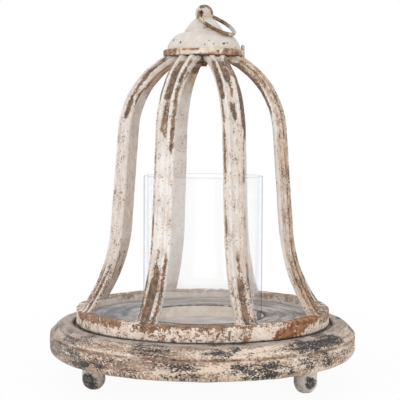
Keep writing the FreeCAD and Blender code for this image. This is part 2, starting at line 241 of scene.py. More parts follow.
def brimShadeLine(tree, place, look):
    # Painted shade: a dark line where the hoop drops into the base
    up = addNode(tree, "SeparateXYZ", {0: place})["Z"]
    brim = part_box("base_disc")[1].z/mm - look["brimShadeDrop"]
    offBrim = addNode(tree, "Math", {0: up, 1: brim}, operation="SUBTRACT")[0]
    offBrim = addNode(tree, "Math", {0: offBrim}, operation="ABSOLUTE")[0]
    return addNode(tree, "MapRange", {0: offBrim, 1: look["brimShadeMm"][0], 2: look["brimShadeMm"][1],
                                      3: look["brimShadeShare"], 4: 0.0})[0]


def hoopMaterial():
    look = hoopPaint
    made, tree, place = startMaterial("flakedIvoryPaintOnRustyIron")
    wear = addNode(tree, "Attribute", attribute_name="wear")["Fac"]
    coats, roughness, height = layeredPaint(tree, place, place, wear, look)
    # the inner wall is greyer where its coat is whole
    greyer = tint(tree, place, look, look["insideMm"], ("inside", "insideShade"))
    (whole, worn), (most, least) = look["insideWear"], look["insideShare"]
    share = addNode(tree, "MapRange", {0: wear, 1: whole, 2: worn, 3: most, 4: least})[0]
    inside = addNode(tree, "Attribute", attribute_name="inside")["Fac"]
    dulled = addNode(tree, "Math", {0: inside, 1: share}, operation="MULTIPLY")[0]
    walled = addNode(tree, "Mix", {0: dulled, 6: coats, 7: greyer}, data_type="RGBA")[2]
    rusted = rustPatches(tree, place, look)
    oxide = tint(tree, place, look, look["oxideMm"], ("rust", "rustDark"))
    coated = addNode(tree, "Mix", {0: rusted, 6: walled, 7: oxide}, data_type="RGBA")[2]
    # painted shade: a dark line round the hoop's foot, at the base's recess
    paintedShade = brimShadeLine(tree, place, look)
    colour = addNode(tree, "Mix", {0: paintedShade, 6: coated, 7: linear(look["brimShade"])}, data_type="RGBA")[2]
    closeMaterial(tree, colour, roughness, height, look["reliefMm"])
    return made


# Turned timber: cream over pink-brown, scrubbed in streaks round the disc, with slate showing on the brow
# and the lower band, a grey-mauve land and a brown line in the groove
basePaint = {
    "topCoat": "#F8E9D9", "topShade": "#EBD8C5", "stain": "#CFB6A2", "primer": "#866C5C",
    "primerWarm": "#B0937F",
    "driftMm": 22.0, "underMm": 9.0, "patchMm": 7.0, "flakeMm": 1.4, "flakeShare": 0.5, "limit": 0.66,
    "softness": 0.04, "stainReach": 0.16, "stainShare": 0.7, "crumbMm": 1.6, "crumbShare": 0.5,
    "speckMm": 0.8, "speckShare": 0.2, "speckGain": 0.1, "streakR": 26.0, "brushR": 84.0,
    "roughness": (0.82, 0.72), "reliefMm": 0.35, "slate": "#33363B", "slateWarm": "#4D453F", "slateMm": 6.0,
    "land": "#C4B9B2", "landShade": "#94857C", "landMm": 2.6, "landShare": 0.75,
    "groove": "#8E6B59", "grooveMm": (0.7, 2.0), "grooveShare": 0.8, "grooveOutsideMm": 140.0,
    "breakMm": 5.0, "breakFrom": (0.4, 0.6), "breakLeast": 0.2,
    "left": "#C6BFBB", "leftMm": (-150.0, -95.0), "leftShare": 0.32,
    # the dark brown on this line, with its reach and share, is painted shade on the lip beside the hoop
    "brimShade": "#3F322A", "brimShadeMm": (130.6, 132.2), "brimShadeShare": 0.45,
    "pocketR": 62.5, "pocket": "#EAE2DD", "pocketShade": "#D6CDC7", "pocketMm": 18.0,
}
slateLook = {"patchMm": 5.0, "flakeMm": 1.15, "flakeShare": 0.55, "limit": 0.7, "softness": 0.04}


def grooveLine(tree, streak, radius, up, look):
    # The line in the groove, rubbed away in places
    offLine = addNode(tree, "Math", {0: up, 1: groovePlace()}, operation="SUBTRACT")[0]
    offLine = addNode(tree, "Math", {0: offLine}, operation="ABSOLUTE")[0]
    inLine = addNode(tree, "MapRange", {0: offLine, 1: look["grooveMm"][0], 2: look["grooveMm"][1],
                                        3: look["grooveShare"], 4: 0.0})[0]
    outside = addNode(tree, "Math", {0: radius, 1: look["grooveOutsideMm"]}, operation="GREATER_THAN")[0]
    inLine = addNode(tree, "Math", {0: inLine, 1: outside}, operation="MULTIPLY")[0]
    gaps = addNode(tree, "TexNoise", {"Vector": streak, "Scale": 1/look["breakMm"], "Detail": 3.0,
                                      "Roughness": 0.65})[0]
    broken = addNode(tree, "MapRange", {0: gaps, 1: look["breakFrom"][0], 2: look["breakFrom"][1],
                                        3: look["breakLeast"], 4: 1.0})[0]
    return addNode(tree, "Math", {0: inLine, 1: broken}, operation="MULTIPLY")[0]


def baseMaterial():
    look = basePaint
    made, tree, place = startMaterial("scrubbedCreamPaintOnTurnedTimber")
    streak, radius, up = roundStreaks(tree, place, look["streakR"])
    brushed = roundStreaks(tree, place, look["brushR"])[0]
    wear = addNode(tree, "Attribute", attribute_name="wear")["Fac"]
    coats, roughness, height = layeredPaint(tree, brushed, streak, wear, look)
    mauve = tint(tree, streak, look, look["landMm"], ("land", "landShade"))
    land = addNode(tree, "Attribute", attribute_name="land")["Fac"]
    landed = addNode(tree, "Math", {0: land, 1: look["landShare"]}, operation="MULTIPLY")[0]
    topped = addNode(tree, "Mix", {0: landed, 6: coats, 7: mauve}, data_type="RGBA")[2]
    inLine = grooveLine(tree, streak, radius, up, look)
    lined = addNode(tree, "Mix", {0: inLine, 6: topped, 7: linear(look["groove"])}, data_type="RGBA")[2]
    # the slate coat below shows through in patches
    slate = addNode(tree, "Attribute", attribute_name="slate")["Fac"]
    dark = wornLevel(tree, brushed, streak, slate, slateLook)[1]
    slateTone = tint(tree, place, look, look["slateMm"], ("slate", "slateWarm"))
    coated = addNode(tree, "Mix", {0: dark, 6: lined, 7: slateTone}, data_type="RGBA")[2]
    # greyer towards the left
    sideways = addNode(tree, "SeparateXYZ", {0: place})["X"]
    greyed = addNode(tree, "MapRange", {0: sideways, 1: look["leftMm"][0], 2: look["leftMm"][1],
                                        3: look["leftShare"], 4: 0.0})[0]
    coated = addNode(tree, "Mix", {0: greyed, 6: coated, 7: linear(look["left"])}, data_type="RGBA")[2]
    # painted shade on the lip beside the hoop's gap
    paintedShade = addNode(tree, "MapRange", {0: radius, 1: look["brimShadeMm"][0], 2: look["brimShadeMm"][1],
                                       3: look["brimShadeShare"], 4: 0.0})[0]
    coated = addNode(tree, "Mix", {0: paintedShade, 6: coated, 7: linear(look["brimShade"])}, data_type="RGBA")[2]
    # the pocket's floor keeps a clean grey-beige coat
    inPocket = addNode(tree, "Math", {0: radius, 1: look["pocketR"]}, operation="LESS_THAN")[0]
    pocket = tint(tree, place, look, look["pocketMm"], ("pocket", "pocketShade"))
    colour = addNode(tree, "Mix", {0: inPocket, 6: coated, 7: pocket}, data_type="RGBA")[2]
    height = addNode(tree, "Math", {0: height, 1: dark}, operation="SUBTRACT")[0]
    closeMaterial(tree, colour, roughness, height, look["reliefMm"])
    return made


# Feet of the same turned timber, with more of the slate coat showing
footPaint = {
    "topCoat": "#FBF5EF", "topShade": "#F0E8E1", "stain": "#CABDB2", "primer": "#2D3036",
    "primerWarm": "#53483F",
    "driftMm": 7.0, "underMm": 4.0, "patchMm": 6.0, "flakeMm": 1.6, "flakeShare": 0.4, "limit": 0.67,
    "softness": 0.04, "stainReach": 0.2, "stainShare": 0.7, "crumbMm": 1.4, "crumbShare": 0.5,
    "speckMm": 0.9, "speckShare": 0.08, "speckGain": 0.1, "roughness": (0.75, 0.65), "reliefMm": 0.25,
}


def footMaterial():
    look = footPaint
    made, tree, place = startMaterial("wornCreamAndSlatePaintOnTurnedFeet")
    wear = addNode(tree, "Attribute", attribute_name="wear")["Fac"]
    colour, roughness, height = layeredPaint(tree, place, place, wear, look)
    closeMaterial(tree, colour, roughness, height, look["reliefMm"])
    return made


# Grey wash on a timber floor board, brushed round the pocket in soft smudges; the pocket's wall is cream
floorPaint = {
    "topCoat": "#D0CBC8", "topShade": "#AEAEB0", "stain": "#8F8883", "primer": "#5A5350",
    "primerWarm": "#6E645E",
    "driftMm": 16.0, "underMm": 8.0, "patchMm": 9.0, "flakeMm": 2.0, "flakeShare": 0.3, "limit": 0.64,
    "softness": 0.13, "stainReach": 0.22, "stainShare": 0.6, "crumbMm": 1.8, "crumbShare": 0.4,
    "speckMm": 1.0, "speckShare": 0.05, "speckGain": 0.0, "streakR": 15.0, "brushR": 48.0, "wear": 0.3,
    "roughness": (0.72, 0.65), "reliefMm": 0.15, "blue": "#A9B8C4", "blueMm": (-100.0, -40.0),
    "blueShare": 0.26,
    "grain": "#F4F0EC", "grainMm": 6.0, "grainFrom": (0.48, 0.68), "grainShare": 0.45,
    "wall": "#F8F0E8", "wallShade": "#EDE2D8", "wallMm": 9.0, "wallR": 62.4,
    # this dark brown paints the pocket rim's splits and, towards the front, painted shade in the gap behind
    # the rim
    "crackAndShade": "#332B26", "splinterMm": 4.0, "crackAndShadeFrom": (0.76, 0.84), "crackAndShadeShare": 0.9,
    "rimMm": (61.9, 64.6, 70.0), "rimDropMm": (2.2, 1.2), "rimSpreadMm": (-60.0, 0.0),
    "rimAmount": (0.9, 0.42), "rimAmountMm": (-10.0, 30.0),
    # the spot on this line is painted shade in the gap between the glass and the pocket's wall
    "gapShadeSpots": (((56.5, 23.5, 60.5), 9.5, 1.0),), "gapShadeFrom": (1.0, 1.3), "gapShadeShare": 0.85,
}


def pocketWall(tree, place, ragged, look):
    # Cream wall of the pocket, with painted shade in the gap at its right
    wall = tint(tree, place, look, look["wallMm"], ("wall", "wallShade"))
    gapShade = addNode(tree, "Math", {0: nearSpots(tree, place, look["gapShadeSpots"]), 1: ragged}, operation="ADD")[0]
    gapShade = addNode(tree, "MapRange", {0: gapShade, 1: look["gapShadeFrom"][0], 2: look["gapShadeFrom"][1],
                                     4: look["gapShadeShare"]}, interpolation_type="SMOOTHSTEP")[0]
    return addNode(tree, "Mix", {0: gapShade, 6: wall, 7: linear(look["crackAndShade"])}, data_type="RGBA")[2]


def rimCracksAndShade(tree, ahead, radius, up, ragged, look):
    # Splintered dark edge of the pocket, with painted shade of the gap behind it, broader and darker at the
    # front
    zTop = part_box("floor_board")[1].z/mm
    rimIn, rimRear, rimFront = look["rimMm"]
    rimOut = addNode(tree, "MapRange", {0: ahead, 1: look["rimSpreadMm"][0], 2: look["rimSpreadMm"][1],
                                        3: rimFront, 4: rimRear})[0]
    near = addNode(tree, "MapRange", {0: radius, 1: rimIn, 2: rimOut, 3: 1.0, 4: 0.0})[0]
    below, above = look["rimDropMm"]
    upper = addNode(tree, "MapRange", {0: up, 1: zTop - below, 2: zTop - above})[0]
    onRim = addNode(tree, "Math", {0: near, 1: upper}, operation="MULTIPLY")[0]
    (front, rear), (most, least) = look["rimAmountMm"], look["rimAmount"]
    amount = addNode(tree, "MapRange", {0: ahead, 1: front, 2: rear, 3: most, 4: least})[0]
    split = addNode(tree, "Math", {0: onRim, 1: amount, 2: ragged}, operation="MULTIPLY_ADD")[0]
    return addNode(tree, "MapRange", {0: split, 1: look["crackAndShadeFrom"][0], 2: look["crackAndShadeFrom"][1],
                                      4: look["crackAndShadeShare"]}, interpolation_type="SMOOTHSTEP")[0]


def floorMaterial():
    look = floorPaint
    made, tree, place = startMaterial("greyWashOnTimberFloorBoard")
    streak, radius, up = roundStreaks(tree, place, look["streakR"])
    brushed = roundStreaks(tree, place, look["brushR"])[0]
    washed, roughness, height = layeredPaint(tree, brushed, streak, look["wear"], look)
    axes = addNode(tree, "SeparateXYZ", {0: place})
    leftward = addNode(tree, "MapRange", {0: axes["X"], 1: look["blueMm"][0], 2: look["blueMm"][1],
                                          3: look["blueShare"], 4: 0.0})[0]
    washed = addNode(tree, "Mix", {0: leftward, 6: washed, 7: linear(look["blue"])}, data_type="RGBA")[2]
    grain = addNode(tree, "TexNoise", {"Vector": streak, "Scale": 1/look["grainMm"], "Detail": 3.0})[0]
    pale = addNode(tree, "MapRange", {0: grain, 1: look["grainFrom"][0], 2: look["grainFrom"][1],
                                      4: look["grainShare"]}, interpolation_type="SMOOTHSTEP")[0]
    grained = addNode(tree, "Mix", {0: pale, 6: washed, 7: linear(look["grain"])}, data_type="RGBA")[2]
    ragged = addNode(tree, "TexNoise", {"Vector": place, "Scale": 1/look["splinterMm"], "Detail": 4.0,
                                        "Roughness": 0.7})[0]
    inWall = addNode(tree, "Math", {0: radius, 1: look["wallR"]}, operation="LESS_THAN")[0]
    wall = pocketWall(tree, place, ragged, look)
    walled = addNode(tree, "Mix", {0: inWall, 6: grained, 7: wall}, data_type="RGBA")[2]
    crackedAndShaded = rimCracksAndShade(tree, axes["Y"], radius, up, ragged, look)
    colour = addNode(tree, "Mix", {0: crackedAndShaded, 6: walled, 7: linear(look["crackAndShade"])}, data_type="RGBA")[2]
    closeMaterial(tree, colour, roughness, height, look["reliefMm"])
    return made


# The cap's ivory is nearly whole: a few chips low on the dome, faint drift in tone
capPaint = {
    "topCoat": "#E5DCD4", "topShade": "#DAD0C7", "stain": "#CDBFB1", "primer": "#4C443F",
    "primerWarm": "#71604F",
    "driftMm": 11.0, "underMm": 4.0, "patchMm": 5.0, "flakeMm": 1.8, "flakeShare": 0.5, "limit": 0.74,
    "softness": 0.03, "stainReach": 0.14, "stainShare": 0.45, "crumbMm": 1.3, "crumbShare": 0.4,
    "speckMm": 1.3, "speckShare": 0.0, "speckGain": 0.22, "roughness": (0.68, 0.58), "reliefMm": 0.2,
}


def domeMaterial():
    look = capPaint
    made, tree, place = startMaterial("ivoryPaintOnSpunDome")
    wear = addNode(tree, "Attribute", attribute_name="wear")["Fac"]
    colour, roughness, height = layeredPaint(tree, place, place, wear, look)
    closeMaterial(tree, colour, roughness, height, look["reliefMm"])
    return made


# The finial's greyer ivory is rubbed brown by the ring, at the ball's top and beside the hole
finialPaint = dict(capPaint, limit=0.67, topCoat="#E0DAD4", topShade="#D5CEC7", stain="#C2AC90",
                   primer="#4F3C31", primerWarm="#846349")
finialSpots = (
    ((-1.3, -4.5, 372.4), 5.5, 0.95), ((4.9, -3.1, 371.5), 5.5, 0.9), ((7.6, -3.1, 367.0), 5.0, 0.95),
    ((-2.5, -8.5, 365.3), 3.4, 0.9), ((-4.2, -6.4, 360.0), 4.0, 0.85), ((2.0, 7.5, 369.0), 6.0, 0.8),
    ((-6.5, 5.0, 361.0), 5.0, 0.75), ((3.0, -17.0, 348.5), 5.0, 0.4),
)
finialStain = (
    ((2.5, -6.0, 365.0), 11.0, 0.45), ((3.0, -16.0, 350.0), 5.0, 0.3), ((-3.0, 6.0, 366.0), 9.0, 0.4),
)


def finialMaterial():
    look = finialPaint
    made, tree, place = startMaterial("ivoryPaintOnTurnedFinial")
    wear = nearSpots(tree, place, finialSpots)
    stained = nearSpots(tree, place, finialStain)
    colour, roughness, height = layeredPaint(tree, place, place, wear, look, stained)
    closeMaterial(tree, colour, roughness, height, look["reliefMm"])
    return made


# Bronze-brown undercoat rubbed to gold, with ivory left in places: the crown's plate and ring
crownPaint = {
    "topCoat": "#EBE1D4", "topShade": "#DFD0BF", "stain": "#CDB297", "primer": "#6A4F3E",
    "primerWarm": "#BE8D66",
    "driftMm": 8.0, "underMm": 5.0, "patchMm": 6.0, "flakeMm": 1.8, "flakeShare": 0.4, "limit": 0.67,
    "softness": 0.05, "stainReach": 0.14, "stainShare": 0.8, "crumbMm": 1.4, "crumbShare": 0.5,
    "speckMm": 0.9, "speckShare": 0.05, "speckGain": 0.1, "roughness": (0.7, 0.5), "reliefMm": 0.2,
    # the near-black on this line, with its reach and share, is painted shade along the plate's lower edge
    "underShade": "#2E231C", "underShadeMm": (0.3, 1.5), "underShadeShare": 0.85,
}
collarPaint = dict(crownPaint, primer="#4A372B", primerWarm="#7A5A42", wear=0.75)


def plateMaterial():
    look = crownPaint
    made, tree, place = startMaterial("bronzeBrownAndIvoryOnCrownPlate")
    wear = addNode(tree, "Attribute", attribute_name="wear")["Fac"]
    coats, roughness, height = layeredPaint(tree, place, place, wear, look)
    # painted shade along the lower edge, where the plate overhangs the ribs
    up = addNode(tree, "SeparateXYZ", {0: place})["Z"]
    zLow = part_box("crown_plate")[0].z/mm
    paintedShade = addNode(tree, "MapRange", {0: up, 1: zLow + look["underShadeMm"][0], 2: zLow + look["underShadeMm"][1],
                                       3: look["underShadeShare"], 4: 0.0})[0]
    colour = addNode(tree, "Mix", {0: paintedShade, 6: coats, 7: linear(look["underShade"])}, data_type="RGBA")[2]
    closeMaterial(tree, colour, roughness, height, look["reliefMm"])
    return made


def crownRingMaterial():
    look = collarPaint
    made, tree, place = startMaterial("bronzeBrownOnCrownRing")
    colour, roughness, height = layeredPaint(tree, place, place, look["wear"], look)
    closeMaterial(tree, colour, roughness, height, look["reliefMm"])
    return made


# The ring handle is brown-gold with ivory left by the ball, and worn to grey metal where a finger pulls
handlePaint = {
    "topCoat": "#D9C8B4", "topShade": "#C4AB92", "stain": "#A98868", "primer": "#4A3324",
    "primerWarm": "#82603F",
    "driftMm": 5.0, "underMm": 3.2, "patchMm": 5.0, "flakeMm": 1.4, "flakeShare": 0.4, "limit": 0.64,
    "softness": 0.05, "stainReach": 0.12, "stainShare": 0.8, "crumbMm": 1.2, "crumbShare": 0.5,
    "speckMm": 0.8, "speckShare": 0.05, "speckGain": 0.05, "roughness": (0.6, 0.42), "reliefMm": 0.15,
    "wear": 0.66, "ivorySpots": (((-0.5, -22.0, 356.0), 8.0, 0.45), ((26.0, -17.5, 343.3), 6.0, 0.4)),
    "metal": "#C6C2BE", "metalDark": "#A09C99", "metalMm": 2.5, "metalPlace": (29.6, -2.7, 346.8),
    "metalReachMm": (8.0, 15.0), "metalShare": 0.95,
}


def handleMaterial():
    look = handlePaint
    made, tree, place = startMaterial("brownGoldPaintOnRingHandle")
    ivory = nearSpots(tree, place, look["ivorySpots"])
    wear = addNode(tree, "Math", {0: look["wear"], 1: ivory}, operation="SUBTRACT")[0]
    coats, roughness, height = layeredPaint(tree, place, place, wear, look)
    away = addNode(tree, "VectorMath", {0: place, 1: look["metalPlace"]}, operation="DISTANCE")["Value"]
    worn = addNode(tree, "MapRange", {0: away, 1: look["metalReachMm"][0], 2: look["metalReachMm"][1],
                                      3: look["metalShare"], 4: 0.0}, interpolation_type="SMOOTHSTEP")[0]
    grey = tint(tree, place, look, look["metalMm"], ("metal", "metalDark"))
    colour = addNode(tree, "Mix", {0: worn, 6: coats, 7: grey}, data_type="RGBA")[2]
    closeMaterial(tree, colour, roughness, height, look["reliefMm"])
    return made


# Drawn steel, grey with a soft blurred shine: dull for the pin, zinc-plated for the floor board's screws.
# Its real grain is too fine to show in the render, so it is drawn as coarse as it needs to show
dullSteel = {"light": "#BDB5AE", "shade": "#978E87", "roughness": (0.4, 0.62), "blotchMm": 3.0,
             "grainMm": 0.6, "reliefMm": 0.03}
zincSteel = dict(dullSteel, light="#B9BAB8", shade="#A3A4A3", roughness=(0.28, 0.5))


def steelMaterial(name, look):
    made, tree, place = startMaterial(name)
    colour = tint(tree, place, look, look["blotchMm"], ("light", "shade"))
    grain = addNode(tree, "TexNoise", {"Vector": place, "Scale": 1/look["grainMm"], "Detail": 3.0})[0]
    rough = addNode(tree, "MapRange", {0: grain, 3: look["roughness"][0], 4: look["roughness"][1]})[0]
    closeMaterial(tree, colour, rough, grain, look["reliefMm"], Metallic=1.0)
    return made


# Clear soda-lime glass: smooth and colourless, with faint waves from blowing
# the outline grey is painted shade along the glass's edges and its rim
glassLook = {"clear": "#FFFFFF", "blue": "#FCFDFE", "outline": "#DEE0E4", "waveMm": 30.0, "reliefMm": 0.05,
             "ior": 1.5, "roughness": 0.0, "body": 0.08, "blend": 0.1, "blueFrom": (0.08, 0.25),
             "shadeLineFrom": (0.26, 0.34), "outerMm": 58.2, "rimMm": (1.6, 0.8), "rimShadeShare": 0.28}


def glassMaterial():
    look = glassLook
    made, tree, place = startMaterial("clearBlownGlass")
    wave = addNode(tree, "TexNoise", {"Vector": place, "Scale": 1/look["waveMm"], "Detail": 1.0})[0]
    bump = addNode(tree, "Bump", {"Height": wave, "Distance": look["reliefMm"]*mm, "Strength": 1.0})[0]
    surface = addNode(tree, "BsdfPrincipled", {
        "Base Color": linear(look["clear"]), "Roughness": look["roughness"], "IOR": look["ior"],
        "Transmission Weight": 1.0, "Normal": bump})[0]
    # thin glass hardly bends what is behind it, so most of it lets light straight through: a little bluer to
    # the sides, and a grey line along the outline, painted shade that stands in for what the glass bends and
    # reflects there
    facing = addNode(tree, "LayerWeight", {0: look["blend"]})["Facing"]
    aside = addNode(tree, "MapRange", {0: facing, 1: look["blueFrom"][0], 2: look["blueFrom"][1]})[0]
    line = addNode(tree, "MapRange", {0: facing, 1: look["shadeLineFrom"][0], 2: look["shadeLineFrom"][1]})[0]
    radius, up = radiusOf(tree, place)
    outer = addNode(tree, "Math", {0: radius, 1: look["outerMm"]}, operation="GREATER_THAN")[0]
    line = addNode(tree, "Math", {0: line, 1: outer}, operation="MULTIPLY")[0]
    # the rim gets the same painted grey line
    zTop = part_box("glass_sleeve")[1].z/mm
    rim = addNode(tree, "MapRange", {0: up, 1: zTop - look["rimMm"][0], 2: zTop - look["rimMm"][1],
                                     4: look["rimShadeShare"]})[0]
    line = addNode(tree, "Math", {0: line, 1: rim}, operation="MAXIMUM")[0]
    tones = {0: aside, 6: linear(look["clear"]), 7: linear(look["blue"])}
    tinted = addNode(tree, "Mix", tones, data_type="RGBA")[2]
    tinted = addNode(tree, "Mix", {0: line, 6: tinted, 7: linear(look["outline"])}, data_type="RGBA")[2]
    clear = addNode(tree, "BsdfTransparent", {0: tinted})[0]
    both = addNode(tree, "MixShader", {0: look["body"], 1: clear, 2: surface})[0]
    addNode(tree, "OutputMaterial", {"Surface": both})
    return made


def keepPiece(bm, name, body, material, replaced, sharpDeg=50):
    bmesh.ops.remove_doubles(bm, verts=bm.verts, dist=mergeMm*mm)
    bmesh.ops.recalc_face_normals(bm, faces=bm.faces)
    mesh = bpy.data.meshes.new(name)
    bm.to_mesh(mesh)
    bm.free()
    mesh.materials.append(material)
    mesh.shade_smooth()
    mesh.set_sharp_from_angle(angle=math.radians(sharpDeg))
    piece = bpy.data.objects.new(name, mesh)
    bpy.context.scene.collection.objects.link(piece)
    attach(piece, body)
    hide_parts(replaced)
    return piece


def turned(outline, stepMm, turns, closed=False):
    # Outline of (radius, height, corner reach) in mm: corners rounded, long runs divided, then spun
    cornerSteps = 5
    bm = bmesh.new()
    corners = [bm.verts.new((r*mm, 0, z*mm)) for r, z, _ in outline]
    ends = corners[1:] + corners[:1] if closed else corners[1:]
    for pair in zip(corners, ends):
        bm.edges.new(pair)
    for corner, (_, _, reach) in zip(corners, outline):
        if reach:
            bmesh.ops.bevel(bm, geom=[corner], offset=reach*mm, affect="VERTICES", segments=cornerSteps,
                            profile=0.5, material=-1)
    for edge in list(bm.edges):
        cuts = int(edge.calc_length()/(stepMm*mm))
        if cuts:
            bmesh.ops.subdivide_edges(bm, edges=[edge], cuts=cuts)
    bmesh.ops.spin(bm, geom=bm.verts[:] + bm.edges[:], cent=(0, 0, 0), axis=(0, 0, 1), angle=2*math.pi,
                   steps=turns, use_merge=True)
    bmesh.ops.remove_doubles(bm, verts=bm.verts, dist=mergeMm*mm)
    bmesh.ops.recalc_face_normals(bm, faces=bm.faces)
    return bm


def arcPoints(start, end, sag, steps):
    # Points of the arc that bulges by sag to the right of the way from start to end
    chord = Vector(end) - Vector(start)
    radius = (chord.length**2/4 + sag*sag)/(2*abs(sag))
    out = Vector((chord.y, -chord.x)).normalized()*math.copysign(1, sag)
    centre = (Vector(start) + Vector(end))/2 + out*(abs(sag) - radius)
    turn = 2*math.asin(chord.length/2/radius)*math.copysign(1, sag)
    arm = Vector(start) - centre
    return [centre + Matrix.Rotation(turn*k/steps, 2) @ arm for k in range(steps + 1)]


def roughen(bm, dents):
    # Hand-worked unevenness: for each depth and grain, vertices move along their normals by smooth noise
    for depthMm, grainMm in dents:
        bm.normal_update()
        moves = [vert.normal*depthMm*mm*noise.noise(vert.co/(grainMm*mm)) for vert in bm.verts]
        for vert, move in zip(bm.verts, moves):
            vert.co += move


def fade(value, inner, outer):
    # 1 up to inner, easing to 0 at outer
    t = min(1.0, max(0.0, (outer - value)/(outer - inner)))
    return t*t*(3 - 2*t)


def waver(place, *waves):
    # Smooth offset, from waves of a size in mm and a reach, that keeps a stroke from running straight
    return sum(reach*noise.noise(place/sizeMm) for sizeMm, reach in waves)


def strokesAt(strokes, across, along, soft, taper=0.0):
    # Wear from the given strokes: each stroke runs from, to across and from, to along, with an amount; the
    # strongest counts.
    # Soft is how far its sides and its ends fade. With a taper it also narrows towards its ends
    softAcross, softAlong = soft
    most = 0.0
    for a0, a1, b0, b1, amount in strokes:
        half, reach = (a1 - a0)/2, (b1 - b0)/2
        aside, ahead = abs(across - (a0 + a1)/2), abs(along - (b0 + b1)/2)
        if amount > most and aside < half + softAcross and ahead < reach + softAlong:
            length = fade(ahead, reach - softAlong, reach + softAlong)
            half *= 1 - taper*(1 - length)
            side = fade(aside, half - softAcross, half + softAcross)
            most = max(most, amount*side*length)
    return most


def aroundDeg(place):
    # Degrees round the axis from the front, positive to the right
    return math.degrees(math.atan2(place.x, -place.y))


def markVerts(bm, name, amount):
    layer = bm.verts.layers.float.new(name)
    for vert in bm.verts:
        vert[layer] = amount(vert.co/mm)


# Turned base disc: rounded foot edge, groove line, sloped brow, recess for the hoop and the floor.
# Slate strokes are degrees from, to, heights from, to in mm and an amount
base = {
    "lowerRound": 8.0, "grooveDrop": 9.8, "grooveWidth": 2.2, "grooveDepth": 1.5, "grooveReach": (0.5, 0.4),
    "recessR": 130.0, "recessDepth": 5.7, "land": 13.6, "landMm": (0.5, 1.4), "browReach": 3.0,
    "lipReach": 0.9, "underLift": 0.15, "stepMm": 2.4, "turns": 420, "dents": ((0.35, 16.0), (0.16, 4.0)),
    "wear": (0.46, 0.36), "wearMm": (-110, 10), "slateFromR": 129.0, "bareSlate": 0.28,
    "turnWaves": ((16, 9), (6, 4)), "riseWaves": ((11, 5),), "soft": (6.0, 3.0),
    "slate": (
        (-64, -42, 48, 59, 0.56), (-24, -5, 48, 58, 0.56), (2, 20, 48, 58, 0.62), (31, 69, 49, 59, 0.66),
        (-100, -70, 48, 58, 0.5), (80, 112, 48, 58, 0.52), (122, 152, 48, 58, 0.66),
        (-168, -128, 48, 58, 0.62), (-86, -45, 29, 48, 0.56), (-49, -33, 33, 44, 0.66),
        (-18, 6, 27, 47, 0.52), (13, 32, 27, 46, 0.66), (35, 53, 31, 47, 0.6), (52, 80, 31, 48, 0.4),
        (105, 140, 29, 47, 0.6), (-150, -115, 29, 47, 0.56), (160, 180, 29, 47, 0.56),
        (-180, -165, 29, 47, 0.56)),
}


def groovePlace():
    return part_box("base_disc")[1].z/mm - base["grooveDrop"] - base["grooveWidth"]/2


def makeBase(material):
    low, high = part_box("base_disc")
    r, zLow, zTop = high.x/mm, low.z/mm + base["underLift"], high.z/mm
    zLine = groovePlace()
    half = base["grooveWidth"]/2
    mouth, bottom = base["grooveReach"]
    zRecess = zTop - base["recessDepth"]
    bm = turned([
        (0, zLow, 0), (r, zLow, base["lowerRound"]), (r, zLine - half, mouth),
        (r - base["grooveDepth"], zLine, bottom), (r, zLine + half, mouth),
        (base["recessR"] + base["land"], zTop, base["browReach"]), (base["recessR"], zTop, base["lipReach"]),
        (base["recessR"], zRecess, 0), (0, zRecess, 0)], base["stepMm"], base["turns"])
    roughen(bm, base["dents"])

    def slateAt(place):
        if place.xy.length < base["slateFromR"]:
            return 0.0
        turn = aroundDeg(place) + waver(place, *base["turnWaves"])
        up = place.z + waver(place, *base["riseWaves"])
        return max(base["bareSlate"], strokesAt(base["slate"], turn, up, base["soft"]))

    markVerts(bm, "slate", slateAt)
    worn, kept = base["wear"]  # at the left and at the right
    markVerts(bm, "wear", lambda place: kept + (worn - kept)*fade(place.x, *base["wearMm"]))
    markVerts(bm, "land", lambda place: fade(zTop - place.z, *base["landMm"]))
    return keepPiece(bm, "turned_base", "base", material, "base_disc")


# Floor board inside the hoop, with the pocket that the glass stands in
board = {"pocketR": 61.6, "edgeReach": 1.2, "stepMm": 2.4, "turns": 320, "dents": ((0.2, 14.0), (0.1, 3.5))}


def makeBoard(material):
    low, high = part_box("floor_board")
    r, zLow, zTop = high.x/mm, low.z/mm, high.z/mm
    edge = board["edgeReach"]
    bm = turned([(board["pocketR"], zLow, 0), (r, zLow, 0), (r, zTop, edge), (board["pocketR"], zTop, edge)],
                board["stepMm"], board["turns"], closed=True)
    roughen(bm, board["dents"])
    return keepPiece(bm, "washed_floor", "base", material, "floor_board")


# Three turned feet under the base. The left, rear and right ones have a worn spot each: its place from the
# foot's axis, its reach and its amount
foot = {
    "sole": 4.5, "bellySag": 2.2, "bellySteps": 9, "bellyTop": 11.5, "neckR": 9.0, "neckH": 5.0,
    "neckReach": 1.5, "stepMm": 1.2, "turns": 64, "dents": ((0.3, 5.0), (0.1, 1.8)), "wear": 0.22,
    "spotCore": 0.4, "spots": (((-4, -8, 8), 13.0, 0.86), ((2, 9, 9), 9.0, 0.7), ((4, -8, 11), 9.0, 0.78)),
}


